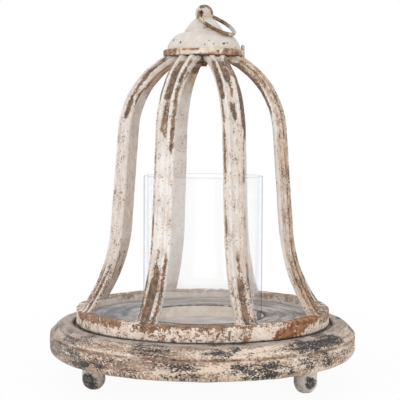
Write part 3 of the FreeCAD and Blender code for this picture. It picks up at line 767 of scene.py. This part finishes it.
def makeFoot(number, material):
    node = f"foot_{number}"
    low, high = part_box(node)
    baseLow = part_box("base_disc")[0].z/mm
    half = (high.x - low.x)/2
    r = half/mm
    centre = (low + high)/2
    belly = arcPoints((foot["sole"], 0), (r, foot["bellyTop"]), foot["bellySag"], foot["bellySteps"])
    neck = [(r, baseLow - foot["neckH"], foot["neckReach"]), (foot["neckR"], baseLow, 0), (0, baseLow, 0)]
    bm = turned([(0, 0, 0)] + [(p.x, p.y, 0) for p in belly] + neck, foot["stepMm"], foot["turns"])
    bmesh.ops.translate(bm, verts=bm.verts, vec=(centre.x, centre.y, 0))
    roughen(bm, foot["dents"])
    for vert in bm.verts:
        vert.co.z = max(vert.co.z, 0)  # soles stay flat on the table
    side = 1 + (centre.x > half) - (centre.x < -half)  # 0 at the left, 1 at the rear, 2 at the right
    offset, reach, amount = foot["spots"][side]
    spot = Vector((centre.x/mm, centre.y/mm, 0)) + Vector(offset)

    def wearAt(place):
        return max(foot["wear"], amount*fade((place - spot).length, reach*foot["spotCore"], reach))

    markVerts(bm, "wear", wearAt)
    return keepPiece(bm, f"turned_foot_{number}", "base", material, node)


# Hoop that the ribs stand on. Strokes are degrees from, to, heights from, to in mm and an amount
hoop = {
    "wall": 11.4, "edgeReach": 1.6, "stepMm": 1.7, "turns": 420, "dents": ((0.45, 11.0), (0.18, 3.0)),
    "wear": (0.22, 0.42), "wearMm": (1.0, 3.4), "insideWear": (0.2, 0.6), "insideWearMm": (1.0, 3.0),
    "insideMm": 0.8, "greyMm": (0.5, 1.5), "turnWaves": ((13, 6),), "riseWaves": ((7, 3),),
    "soft": (5.0, 2.0), "strokes": (
        (-27, 22, 71, 77, 0.85), (-30, -14, 64, 77, 0.58), (-24, 24, 56, 72, 0.34), (-72, -34, 66, 77, 0.68),
        (-75, -50, 54, 66, 0.36), (8, 24, 54, 67, 0.42), (62, 95, 65, 76, 0.6), (100, 150, 60, 76, 0.6),
        (-170, -110, 60, 76, 0.55)),
    "insideStrokes": ((112, 158, 66, 76, 0.5), (-142, -128, 67, 76, 0.5), (-176, -168, 70, 76, 0.6)),
    "rust": ((36, 62, 48, 80, 0.75), (-130, -114, 52, 72, 0.6), (138, 151, 58, 77, 0.6)),
    "rustFromMm": 3.0, "rustLean": 1.0, "rustMiddle": 7.0, "rustWaves": ((9, 9), (4, 4)),
    "rustSoft": (8.0, 3.0),
}


def makeHoop(material):
    low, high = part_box("cage_ring")
    r, zLow, zTop = high.x/mm, low.z/mm, high.z/mm
    inner = r - hoop["wall"]
    edge = hoop["edgeReach"]
    bm = turned([(inner, zLow, 0), (r, zLow, 0), (r, zTop, edge), (inner, zTop, edge)],
                hoop["stepMm"], hoop["turns"], closed=True)
    roughen(bm, hoop["dents"])

    def wearAt(place):
        # more towards the top edge, inside and outside alike
        inside = place.xy.length < inner + hoop["insideMm"]
        least, most = hoop["insideWear"] if inside else hoop["wear"]
        usual = least + (most - least)*fade(zTop - place.z, *hoop["insideWearMm" if inside else "wearMm"])
        turn = aroundDeg(place) + waver(place, *hoop["turnWaves"])
        up = place.z + waver(place, *hoop["riseWaves"])
        return max(usual, strokesAt(hoop["insideStrokes" if inside else "strokes"], turn, up, hoop["soft"]))

    def greyAt(place):
        return fade(place.xy.length - inner, *hoop["greyMm"])

    def rustAt(place):
        # the patches lean
        if place.xy.length < inner + hoop["rustFromMm"]:
            return 0.0
        lean = hoop["rustLean"]*(place.z - zTop + hoop["rustMiddle"])
        turn = aroundDeg(place) - lean + waver(place, *hoop["rustWaves"])
        return strokesAt(hoop["rust"], turn, place.z, hoop["rustSoft"])

    markVerts(bm, "wear", wearAt)
    markVerts(bm, "inside", greyAt)
    markVerts(bm, "rust", rustAt)
    return keepPiece(bm, "iron_hoop", "cage", material, "cage_ring")


# Fluted rib: two beads with a flute between them and a quirk outside each, in mm as the solids are.
# Strokes run from, to round the section (0 the flute's middle, 10 an edge, 15 the back) and from, to along it
rib = {
    "count": 8, "width": 20.0, "depth": 8.0, "beadWidth": 3.9, "beadRise": 1.7, "fluteWidth": 6.6,
    "fluteSag": 1.0, "quirkDepth": 2.6, "quirkSlope": 0.2, "edgeReach": 0.9, "edgeShare": 0.3, "inset": 1.1,
    "flareHeight": 80.8, "flareRadius": 150.9, "waistHeight": 96.0, "leanDeg": 4.44, "shoulderRadius": 88.3,
    "endRadius": 28.0, "spare": 6.0, "sunk": 0.4, "stepMm": 1.3, "beadSteps": 8, "fluteSteps": 4,
    "backStepMm": 3.0, "weld": 1.1, "weldHeight": 3.5, "headWeld": 1.3, "headHeight": 5.0, "headAbove": 0.2,
    "lump": (0.7, 0.5), "lumpMm": 3.0, "lumpShift": 7.0, "dents": ((0.3, 14.0), (0.16, 4.0)),
    "sharpDeg": 60, "apartMm": 40, "frontMm": 1.0, "backMm": 0.6, "faceTo": 10.2, "sideTo": 15.2,
    "acrossWaves": ((9, 0.6), (2.5, 0.5)), "alongWaves": ((12, 12),), "soft": (1.4, 10.0), "taper": 0.6,
    "backSoft": (1.0, 14.0), "tanSoft": (1.5, 20.0), "footStain": 0.3, "footStainMm": (95, 150),
    "headStainMm": (282, 330),
    "wear": {1: 0.2, 2: 0.3, 7: 0.22, 8: 0.16}, "usualWear": 0.18, "sideWear": 0.1,
    "stain": {1: 0.22, 2: 0.85, 7: 0.1, 8: 0.02}, "usualStain": 0.15, "endStainAndShade": (0.3, 1.3),
    "tan": {1: ((2, 10, 120, 250, 0.3),), 7: ((3, 10.2, 130, 250, 0.35),), 8: ((-10, -3.5, 140, 260, 0.3),)},
    "sideStain": {1: 0.2, 2: 0.15, 7: 0.35, 8: 0.12}, "backStain": {3: 0.1, 5: 0.05, 6: 0.5},
    "strokes": {
        1: ((-10.4, -6.4, 281, 333, 0.92), (-10.8, -8.2, 196, 281, 0.74), (-10.8, -8.2, 120, 200, 0.5),
            (-3.6, 3.4, 298, 340, 0.98), (3.0, 7.6, 308, 340, 0.92), (0.0, 3.2, 286, 300, 0.8),
            (-2.6, 3.2, 252, 279, 0.72), (2.0, 3.4, 230, 250, 0.6), (7.4, 16.5, 250, 340, 1.0),
            (8.2, 16.0, 186, 250, 0.7), (8.4, 13.0, 64, 190, 0.52), (-3.2, 3.4, 64, 121, 0.82),
            (-1.0, 3.0, 112, 136, 0.7), (-10.0, -7.0, 64, 118, 0.62), (6.8, 10.0, 64, 125, 0.7),
            (-9.0, 9.0, 64, 122, 0.36), (-9.0, 9.0, 64, 88, 0.46)),
        2: ((-9.8, -6.8, 292, 342, 0.74), (-9.4, -6.8, 130, 288, 0.46), (-15.0, -10.0, 305, 345, 0.5),
            (5.0, 10.5, 64, 330, 0.64), (-3.4, 3.4, 240, 334, 0.8), (-3.4, 3.4, 140, 240, 0.6),
            (3.4, 10.0, 150, 335, 0.54), (8.0, 12.0, 120, 320, 0.7), (-17.0, -13.5, 268, 345, 1.0),
            (-9.8, -6.8, 64, 140, 0.7), (-3.4, 3.4, 64, 145, 0.84), (3.4, 9.0, 64, 130, 0.7),
            (-15.0, -10.0, 64, 130, 0.42), (-7.0, -3.0, 64, 150, 0.54)),
        # rib 7's stroke from 13.0 to 18.5 round the section, near its head, paints the shade of the gap
        # between it and rib 6
        7: ((6.8, 9.8, 256, 342, 1.0), (-3.0, 3.2, 294, 342, 0.95), (3.0, 7.2, 302, 342, 0.7),
            (-3.2, 3.2, 220, 296, 0.32), (-11.0, -8.5, 130, 330, 0.5), (7.4, 9.0, 152, 180, 0.6),
            (9.2, 11.4, 112, 250, 0.36), (-3.2, 3.2, 64, 124, 0.95), (7.0, 9.6, 64, 122, 0.9),
            (-7.0, 7.0, 64, 122, 0.44), (-10.4, -7.0, 64, 126, 0.85), (13.0, 18.5, 276, 296, 1.1),
            (10.0, 15.6, 64, 112, 0.56)),
        8: ((-3.4, 3.2, 279, 341, 1.0), (-3.2, 3.2, 244, 277, 0.7), (-4.2, 3.4, 64, 119, 1.15),
            (-3.0, 1.0, 110, 133, 1.0), (7.0, 9.6, 226, 342, 1.0), (7.0, 9.6, 64, 134, 1.05),
            (-9.8, -7.0, 276, 338, 0.88), (-10.0, -6.6, 130, 276, 0.5), (-9.8, -7.0, 64, 128, 0.8),
            (9.5, 14.5, 296, 345, 0.5), (3.0, 10.0, 64, 84, 0.58), (-10.0, -3.0, 64, 80, 0.58),
            (-7.0, 7.0, 64, 126, 0.42))},
    # the back strokes near the heads, with the back's end stain, darken the rear ribs' inner faces under the
    # plate: worn paint, and painted shade there too
    "backStrokes": {
        2: ((15, 25, 300, 345, 0.6),), 3: ((15, 25, 284, 345, 0.9),), 4: ((10, 25, 246, 345, 0.95),),
        5: ((12, 25, 318, 345, 0.78),), 6: ((12, 25, 64, 130, 0.4), (12, 25, 290, 345, 0.45))},
    "usualStrokes": (
        (-3.2, 3.2, 280, 334, 0.95), (-3.2, 3.2, 240, 280, 0.56), (-9.8, -7.0, 262, 336, 0.88),
        (7.0, 9.8, 250, 336, 0.88), (-3.2, 3.2, 64, 122, 0.95), (-9.8, -7.0, 64, 120, 0.82),
        (7.0, 9.8, 64, 126, 0.82), (-7.0, 7.0, 64, 80, 0.55), (-7.0, 7.0, 64, 124, 0.4)),
}


def ribOutline():
    # Half section from the flute's middle round to the middle of the back; u across, v outwards
    flute, rise = rib["fluteWidth"]/2, rib["beadRise"]
    half, edge = rib["width"]/2, rib["edgeReach"]
    points = []
    for k in range(rib["fluteSteps"]):
        u = flute*k/rib["fluteSteps"]
        points.append((u, -rise - rib["fluteSag"]*(1 - (u/flute)**2)))
    for k in range(rib["beadSteps"] + 1):
        t = math.pi*(1 - k/rib["beadSteps"])
        points.append((flute + rib["beadWidth"]/2*(1 + math.cos(t)), rise*(math.sin(t) - 1)))
    quirk = flute + rib["beadWidth"]
    step, back = -rib["quirkDepth"], -rib["depth"]
    turn = edge*rib["edgeShare"]
    points += [(quirk + rib["quirkSlope"], step), (half - edge, step), (half - turn, step - turn),
               (half, step - edge), (half, (step + back)/2), (half, back + edge), (half - turn, back + turn),
               (half - edge, back)]
    runs = int((half - edge)/rib["backStepMm"])
    points += [((half - edge)*(1 - k/runs), back) for k in range(1, runs + 1)]
    return points


def ribPath():
    # Where the flare, the waist and the shoulder meet, and the centres they turn about
    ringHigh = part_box("cage_ring")[1]
    lean = math.radians(rib["leanDeg"])
    flareEnd = math.asin(math.sin(lean) + rib["flareHeight"]/rib["flareRadius"])
    lowR = ringHigh.x/mm - rib["inset"] - rib["flareRadius"]*(math.cos(lean) - math.cos(flareEnd))
    lowZ = ringHigh.z/mm + rib["flareHeight"]
    topR = lowR - rib["waistHeight"]*math.tan(lean)
    topZ = lowZ + rib["waistHeight"]
    centreR = topR - rib["shoulderRadius"]*math.cos(lean)
    centreZ = topZ - rib["shoulderRadius"]*math.sin(lean)
    return {
        "lean": lean, "low": (lowR, lowZ), "top": (topR, topZ),
        "flareCentre": (lowR + rib["flareRadius"]*math.cos(lean), lowZ + rib["flareRadius"]*math.sin(lean)),
        "flareTurn": flareEnd - lean + rib["spare"]/rib["flareRadius"],
        "shoulderCentre": (centreR, centreZ),
        "shoulderTurn": math.acos((rib["endRadius"] - centreR)/rib["shoulderRadius"]) - lean,
    }


def trimRib(bm):
    # Both ends are cut level and closed, a little way inside the hoop and the plate
    sunk = rib["sunk"]*mm
    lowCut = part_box("cage_ring")[1].z - sunk
    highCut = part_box("crown_plate")[0].z + sunk
    for height, up in ((lowCut, -1), (highCut, 1)):
        whole = bm.verts[:] + bm.edges[:] + bm.faces[:]
        cut = bmesh.ops.bisect_plane(bm, geom=whole, plane_co=(0, 0, height), plane_no=(0, 0, up),
                                     clear_outer=True)["geom_cut"]
        bmesh.ops.edgenet_fill(bm, edges=[e for e in cut if isinstance(e, bmesh.types.BMEdge)])
    bmesh.ops.holes_fill(bm, edges=[e for e in bm.edges if e.is_boundary], sides=0)
    bmesh.ops.recalc_face_normals(bm, faces=bm.faces)


def ribBar():
    # The section is spun up the flare, drawn straight along the waist, spun over the shoulder and cut level
    path = ribPath()
    lean = path["lean"]
    half = ribOutline()
    ring = half + [(-u, v) for u, v in reversed(half[1:-1])]
    bm = bmesh.new()
    section = bm.verts.layers.float_vector.new("ribPlace")
    loop = []
    lowR, lowZ = path["low"]
    for u, v in ring:
        vert = bm.verts.new(((lowR + v*math.cos(lean))*mm, u*mm, (lowZ + v*math.sin(lean))*mm))
        vert[section] = (u, 0, v)
        loop.append(vert)
    edges = [bm.edges.new(pair) for pair in zip(loop, loop[1:] + loop[:1])]
    flareCentre = Vector((path["flareCentre"][0]*mm, 0, path["flareCentre"][1]*mm))
    shoulderCentre = Vector((path["shoulderCentre"][0]*mm, 0, path["shoulderCentre"][1]*mm))
    across = Vector((0, 1, 0))
    bmesh.ops.rotate(bm, verts=loop, cent=flareCentre, matrix=Matrix.Rotation(-path["flareTurn"], 3, across))
    steps = max(2, round(path["flareTurn"]*rib["flareRadius"]/rib["stepMm"]))
    last = bmesh.ops.spin(bm, geom=loop + edges, cent=flareCentre, axis=across, angle=path["flareTurn"],
                          steps=steps)["geom_last"]
    rise = Vector(((path["top"][0] - lowR)*mm, 0, rib["waistHeight"]*mm))
    steps = max(2, round(rib["waistHeight"]/rib["stepMm"]))
    last = bmesh.ops.spin(bm, geom=last, cent=(0, 0, 0), axis=across, angle=0, dvec=rise/steps,
                          steps=steps)["geom_last"]
    steps = max(2, round(path["shoulderTurn"]*rib["shoulderRadius"]/rib["stepMm"]))
    bmesh.ops.spin(bm, geom=last, cent=shoulderCentre, axis=across, angle=-path["shoulderTurn"], steps=steps)
    trimRib(bm)
    for vert in bm.verts:
        u, _, v = vert[section]
        along = vert.co.z/mm
        if along > path["top"][1]:
            arm = vert.co - shoulderCentre
            along = path["top"][1] + rib["shoulderRadius"]*(math.atan2(arm.z, arm.x) - lean)
        vert[section] = (u, along, v)
    return bm


def ribRound(u, v):
    # How far round the section a point lies: across the front, down a side, then over the back
    half, step = rib["width"]/2, -rib["quirkDepth"]
    if v > step - rib["frontMm"]:
        return u
    if v > rib["backMm"] - rib["depth"]:
        return math.copysign(half + step - v, u)
    return math.copysign(half + step + rib["depth"] + half - abs(u), u)


def markRib(bm, number):
    # Wear and stain from the strokes along one rib, and a stretch of the paint's pattern for itself
    section = bm.verts.layers.float_vector["ribPlace"]
    wear = bm.verts.layers.float.new("wear")
    stain = bm.verts.layers.float.new("stain")
    faceStain, sideStain, backStain = (rib[part].get(number, rib["usualStain"])
                                       for part in ("stain", "sideStain", "backStain"))
    strokes = rib["strokes"].get(number, rib["usualStrokes"])
    backStrokes = rib["backStrokes"].get(number, ())
    tan = rib["tan"].get(number, ())
    faceWear = rib["wear"].get(number, rib["usualWear"])
    frontEnd, backEnd = rib["endStainAndShade"]
    apart = number*rib["apartMm"]
    for vert in bm.verts:
        u, along, v = vert[section]
        spot = ribRound(u, v)
        onFace = abs(spot) < rib["faceTo"]
        onSide = abs(spot) < rib["sideTo"]
        where = Vector((u, along, apart))
        sway = waver(where, *rib["acrossWaves"])
        drift = waver(where, *rib["alongWaves"])
        front = strokesAt(strokes, spot + sway, along + drift, rib["soft"], rib["taper"])
        rear = strokesAt(backStrokes, abs(spot), along + drift, rib["backSoft"])
        vert[wear] = max(faceWear if onFace else rib["sideWear"], front, rear)
        low = rib["footStain"]*fade(along, *rib["footStainMm"])
        # near the head the stain is strongest on the back, where it is partly painted shade under the plate
        high = (frontEnd if onSide else backEnd)*(1 - fade(along, *rib["headStainMm"]))
        vert[stain] = faceStain if onFace else sideStain if onSide else backStain
        vert[stain] += strokesAt(tan, spot, along + drift, rib["tanSoft"])
        vert[stain] += max(low, high)
        vert[section] = (u, along, v + apart)


def weldRib(bm, number):
    # Lumpy weld fillets where the foot meets the hoop and the head meets the crown plate
    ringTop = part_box("cage_ring")[1].z
    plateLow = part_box("crown_plate")[0].z
    shift = Vector((number*rib["lumpShift"], 0, 0))
    for vert in bm.verts:
        lump = rib["lump"][0] + rib["lump"][1]*noise.noise(vert.co/(rib["lumpMm"]*mm) + shift)
        rising = max(0, 1 - (vert.co.z - ringTop)/(rib["weldHeight"]*mm))
        outward = Vector((vert.normal.x, vert.normal.y, 0))
        vert.co += outward*rising**2*lump*rib["weld"]*mm
        if vert.co.z < plateLow + rib["headAbove"]*mm:
            heading = max(0, 1 - max(0, plateLow - vert.co.z)/(rib["headHeight"]*mm))
            vert.co += vert.normal*heading*lump*rib["headWeld"]*mm


def makeRib(bar, number, material):
    bm = bar.copy()
    bm.normal_update()
    markRib(bm, number)
    weldRib(bm, number)
    turn = math.radians(180/rib["count"] + 360/rib["count"]*(number - 1) - 90)
    bmesh.ops.rotate(bm, verts=bm.verts, cent=(0, 0, 0), matrix=Matrix.Rotation(turn, 3, "Z"))
    roughen(bm, rib["dents"])
    name, node = f"fluted_rib_{number}", f"rib_{number}"
    return keepPiece(bm, name, "cage", material, node, rib["sharpDeg"])


# Pressed crown plate. Strokes are degrees from, to, heights from, to in mm and an amount
plate = {
    "hole": 3.2, "edgeReach": 1.8, "stepMm": 0.9, "turns": 200, "dents": ((0.5, 13.0), (0.2, 4.0)),
    "wear": 0.14, "turnWaves": ((5, 9),), "soft": (9.0, 0.9), "strokes": (
        (-95, -32, 319, 330, 0.72), (-30, -4, 326, 329, 0.8), (-14, 26, 319, 323.2, 0.8),
        (-2, 18, 323.2, 324.4, 0.74), (27, 72, 319, 329.5, 0.76), (76, 180, 319, 330, 0.6),
        (-180, -102, 319, 330, 0.6)),
}


def makePlate(material):
    low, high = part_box("crown_plate")
    r, zLow, zTop, edge = high.x/mm, low.z/mm, high.z/mm, plate["edgeReach"]
    bm = turned([(plate["hole"], zLow, 0), (r, zLow, edge), (r, zTop, edge), (plate["hole"], zTop, 0)],
                plate["stepMm"], plate["turns"], closed=True)
    roughen(bm, plate["dents"])

    def wearAt(place):
        turn = aroundDeg(place) + waver(place, *plate["turnWaves"])
        return max(plate["wear"], strokesAt(plate["strokes"], turn, place.z, plate["soft"]))

    markVerts(bm, "wear", wearAt)
    return keepPiece(bm, "pressed_plate", "cage", material, "crown_plate")


# Collar under the plate that the ribs' inner ends are welded to
collar = {"wall": 8.0, "height": 4.6, "edgeReach": 0.8, "stepMm": 1.2, "turns": 120,
          "dents": ((0.25, 6.0), (0.12, 2.5))}


def makeCollar(material):
    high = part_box("crown_ring")[1]
    r, zTop = high.x/mm, high.z/mm
    inner, zLow, edge = r - collar["wall"], zTop - collar["height"], collar["edgeReach"]
    bm = turned([(inner, zLow, edge), (r, zLow, edge), (r, zTop, 0), (inner, zTop, 0)], collar["stepMm"],
                collar["turns"], closed=True)
    roughen(bm, collar["dents"])
    return keepPiece(bm, "crown_collar", "cage", material, "crown_ring")


# Spun dome with a few chips. Strokes are degrees from, to, heights from, to in mm and an amount
dome = {
    "topR": 20.7, "sag": 4.0, "wall": 2.5, "hole": 3.2, "stepMm": 1.0, "turns": 200, "arcSteps": 14,
    "dents": ((0.14, 9.0), (0.08, 3.5)), "soft": (1.0, 0.5), "strokes": (
        (-60, -57, 335.8, 338.6, 1.3), (-39, -36, 333.4, 335.6, 1.3), (-32, -27, 334, 335, 0.9),
        (34, 38, 332.4, 334.4, 1.4), (42, 45, 333, 335.2, 1.3), (10, 12, 335, 336, 1.1),
        (-10, -7.5, 334, 335, 1.0), (60, 63, 329.4, 331, 1.2), (16, 18.5, 331.3, 332.4, 1.0),
        (-84, -78, 331, 334, 1.1), (110, 114, 333, 335, 1.3), (150, 153, 331, 334, 1.3),
        (-120, -117, 334, 336, 1.3), (-155, -151, 331, 333, 1.2), (-180, 180, 329, 337, 0.16)),
}


def makeDome(material):
    low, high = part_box("cap_dome")
    r, zLow, zTop, wall = high.x/mm, low.z/mm, high.z/mm, dome["wall"]
    outer = arcPoints((r, zLow), (dome["topR"], zTop), dome["sag"], dome["arcSteps"])
    inner = arcPoints((dome["topR"] - wall/2, zTop - wall), (r - wall, zLow), -dome["sag"], dome["arcSteps"])
    outline = [(p.x, p.y, 0) for p in outer] + [(dome["hole"], zTop, 0), (dome["hole"], zTop - wall, 0)]
    bm = turned(outline + [(p.x, p.y, 0) for p in inner], dome["stepMm"], dome["turns"], closed=True)
    roughen(bm, dome["dents"])
    markVerts(bm, "wear", lambda place: strokesAt(dome["strokes"], aroundDeg(place), place.z, dome["soft"]))
    return keepPiece(bm, "spun_dome", "cage", material, "cap_dome")


# Blown glass sleeve with a fire-polished rim; it casts no shadow, as clear glass hardly does
sleeve = {"wall": 3.0, "rimReach": 1.45, "footReach": 0.3, "stepMm": 6.0, "turns": 240, "sharpDeg": 80}


def makeSleeve(material):
    low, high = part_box("glass_sleeve")
    r, zLow, zTop = high.x/mm, low.z/mm, high.z/mm
    inner = r - sleeve["wall"]
    rim, heel = sleeve["rimReach"], sleeve["footReach"]
    bm = turned([(inner, zLow, heel), (r, zLow, heel), (r, zTop, rim), (inner, zTop, rim)], sleeve["stepMm"],
                sleeve["turns"], closed=True)
    piece = keepPiece(bm, "blown_sleeve", "glass", material, "glass_sleeve",
                      sleeve["sharpDeg"])
    piece.visible_shadow = False
    piece.visible_diffuse = False
    return piece


def paintNode(name, material):
    mesh = nodes[name].data
    mesh.materials.clear()
    mesh.materials.append(material)


ribCoat = ribMaterial()
bar = ribBar()
for number in range(1, rib["count"] + 1):
    makeRib(bar, number, ribCoat)
bar.free()
print("ribs made")
makeHoop(hoopMaterial())
makeBase(baseMaterial())
makeBoard(floorMaterial())
footCoat = footMaterial()
for number in (1, 2, 3):
    makeFoot(number, footCoat)
makePlate(plateMaterial())
crownCoat = crownRingMaterial()
makeCollar(crownCoat)
makeDome(domeMaterial())
makeSleeve(glassMaterial())
print("turned pieces made")

# The crown's stud, washer and nut are painted over with its brown
finishes = {
    "finial": finialMaterial(), "handle_ring": handleMaterial(),
    "cap_pin": steelMaterial("dullDrawnSteel", dullSteel),
    "board_screws": steelMaterial("zincPlatedSteel", zincSteel),
    "crown_stud": crownCoat, "crown_washer": crownCoat, "crown_nut": crownCoat,
}
for name, material in finishes.items():
    paintNode(name, material)
print("finishes on", len(finishes), "solids")

# Pale studio: white floor and world to the camera, soft light from all round and broad lamps at the left,
# at the right and behind; each lamp has a place and a size in metres and a power in watts
studio = {
    "floorMm": 6000, "shadowShare": 0.05, "shadowReachMm": (260, 620), "floorColour": "#F4F3F1",
    "white": "#FFFFFF", "worldLight": 0.74, "aim": (0, 0, 0.17), "lamps": (
        ("keyLamp", (-0.9, -1.1, 1.3), 1.1, 6.2), ("fillLamp", (0.85, -1.8, 0.45), 1.4, 7.4),
        ("topLamp", (0.1, 0.5, 1.7), 1.2, 2.0)),
}


def seenDirectly(tree):
    # 1 for the camera's rays, straight or by way of metal and glass, and 0 for light that falls on the part
    path = addNode(tree, "LightPath")
    seen = addNode(tree, "Math", {0: path["Is Camera Ray"], 1: path["Is Glossy Ray"]}, operation="MAXIMUM")[0]
    return addNode(tree, "Math", {0: seen, 1: path["Is Transmission Ray"]}, operation="MAXIMUM")[0]


def makeFloor():
    bm = bmesh.new()
    bmesh.ops.create_grid(bm, x_segments=1, y_segments=1, size=studio["floorMm"]*mm)
    mesh = bpy.data.meshes.new("studioFloor")
    bm.to_mesh(mesh)
    bm.free()
    floor = bpy.data.objects.new("studio_floor", mesh)
    bpy.context.scene.collection.objects.link(floor)
    made, tree, place = startMaterial("paleStudioFloor")
    away = addNode(tree, "VectorMath", {0: place}, operation="LENGTH")["Value"]
    near, far = studio["shadowReachMm"]
    bright = addNode(tree, "MapRange", {0: away, 1: near, 2: far, 3: 1 - studio["shadowShare"], 4: 1.0},
                     interpolation_type="SMOOTHSTEP")[0]
    share = addNode(tree, "Math", {0: seenDirectly(tree), 1: bright}, operation="MULTIPLY")[0]
    paper = addNode(tree, "BsdfDiffuse", {"Color": linear(studio["floorColour"])})[0]
    white = addNode(tree, "Emission", {"Color": linear(studio["white"]), "Strength": 1.0})[0]
    both = addNode(tree, "MixShader", {0: share, 1: paper, 2: white})[0]
    addNode(tree, "OutputMaterial", {"Surface": both})
    mesh.materials.append(made)


def makeLight():
    white = linear(studio["white"])
    world = bpy.data.worlds.new("paleStudio")
    bpy.context.scene.world = world
    world.use_nodes = True
    tree = world.node_tree
    tree.nodes.clear()
    soft = addNode(tree, "Background", {"Color": white, "Strength": studio["worldLight"]})[0]
    plain = addNode(tree, "Background", {"Color": white, "Strength": 1.0})[0]
    both = addNode(tree, "MixShader", {0: seenDirectly(tree), 1: soft, 2: plain})[0]
    addNode(tree, "OutputWorld", {"Surface": both})
    aim = Vector(studio["aim"])
    for name, spot, size, watts in studio["lamps"]:
        lamp = bpy.data.lights.new(name, "AREA")
        lamp.shape = "DISK"
        lamp.size = size
        lamp.energy = watts
        made = bpy.data.objects.new(name, lamp)
        made.location = spot
        made.rotation_euler = (aim - Vector(spot)).to_track_quat("-Z", "Y").to_euler()
        bpy.context.scene.collection.objects.link(made)


# Camera fitted to the photograph: where it stands, in mm from the axis, how it is turned and what it frames
view = {"distance": 1145.2, "height": 249.1, "turnDeg": 2.97, "downDeg": 3.47, "rollDeg": 0.3,
        "focalPx": 1145.2, "framePx": 400, "rightPx": 3.2, "sensor": 36.0, "nearest": 50.0}


def makeCamera():
    lens = bpy.data.cameras.new("studioCamera")
    lens.sensor_width = view["sensor"]
    lens.lens = view["focalPx"]/view["framePx"]*view["sensor"]
    lens.shift_x = -view["rightPx"]/view["framePx"]
    lens.clip_start = view["nearest"]*mm
    camera = bpy.data.objects.new("studioCamera", lens)
    turn = math.radians(view["turnDeg"])
    away = view["distance"]*mm
    camera.location = (away*math.sin(turn), -away*math.cos(turn), view["height"]*mm)
    tilt = Matrix.Rotation(math.radians(90 - view["downDeg"]), 4, "X")
    roll = Matrix.Rotation(math.radians(view["rollDeg"]), 4, "Z")
    camera.rotation_euler = (Matrix.Rotation(turn, 4, "Z") @ tilt @ roll).to_euler()
    bpy.context.scene.collection.objects.link(camera)
    bpy.context.scene.camera = camera


makeFloor()
makeLight()
makeCamera()
bpy.context.scene.view_settings.view_transform = "Standard"
print("studio set")
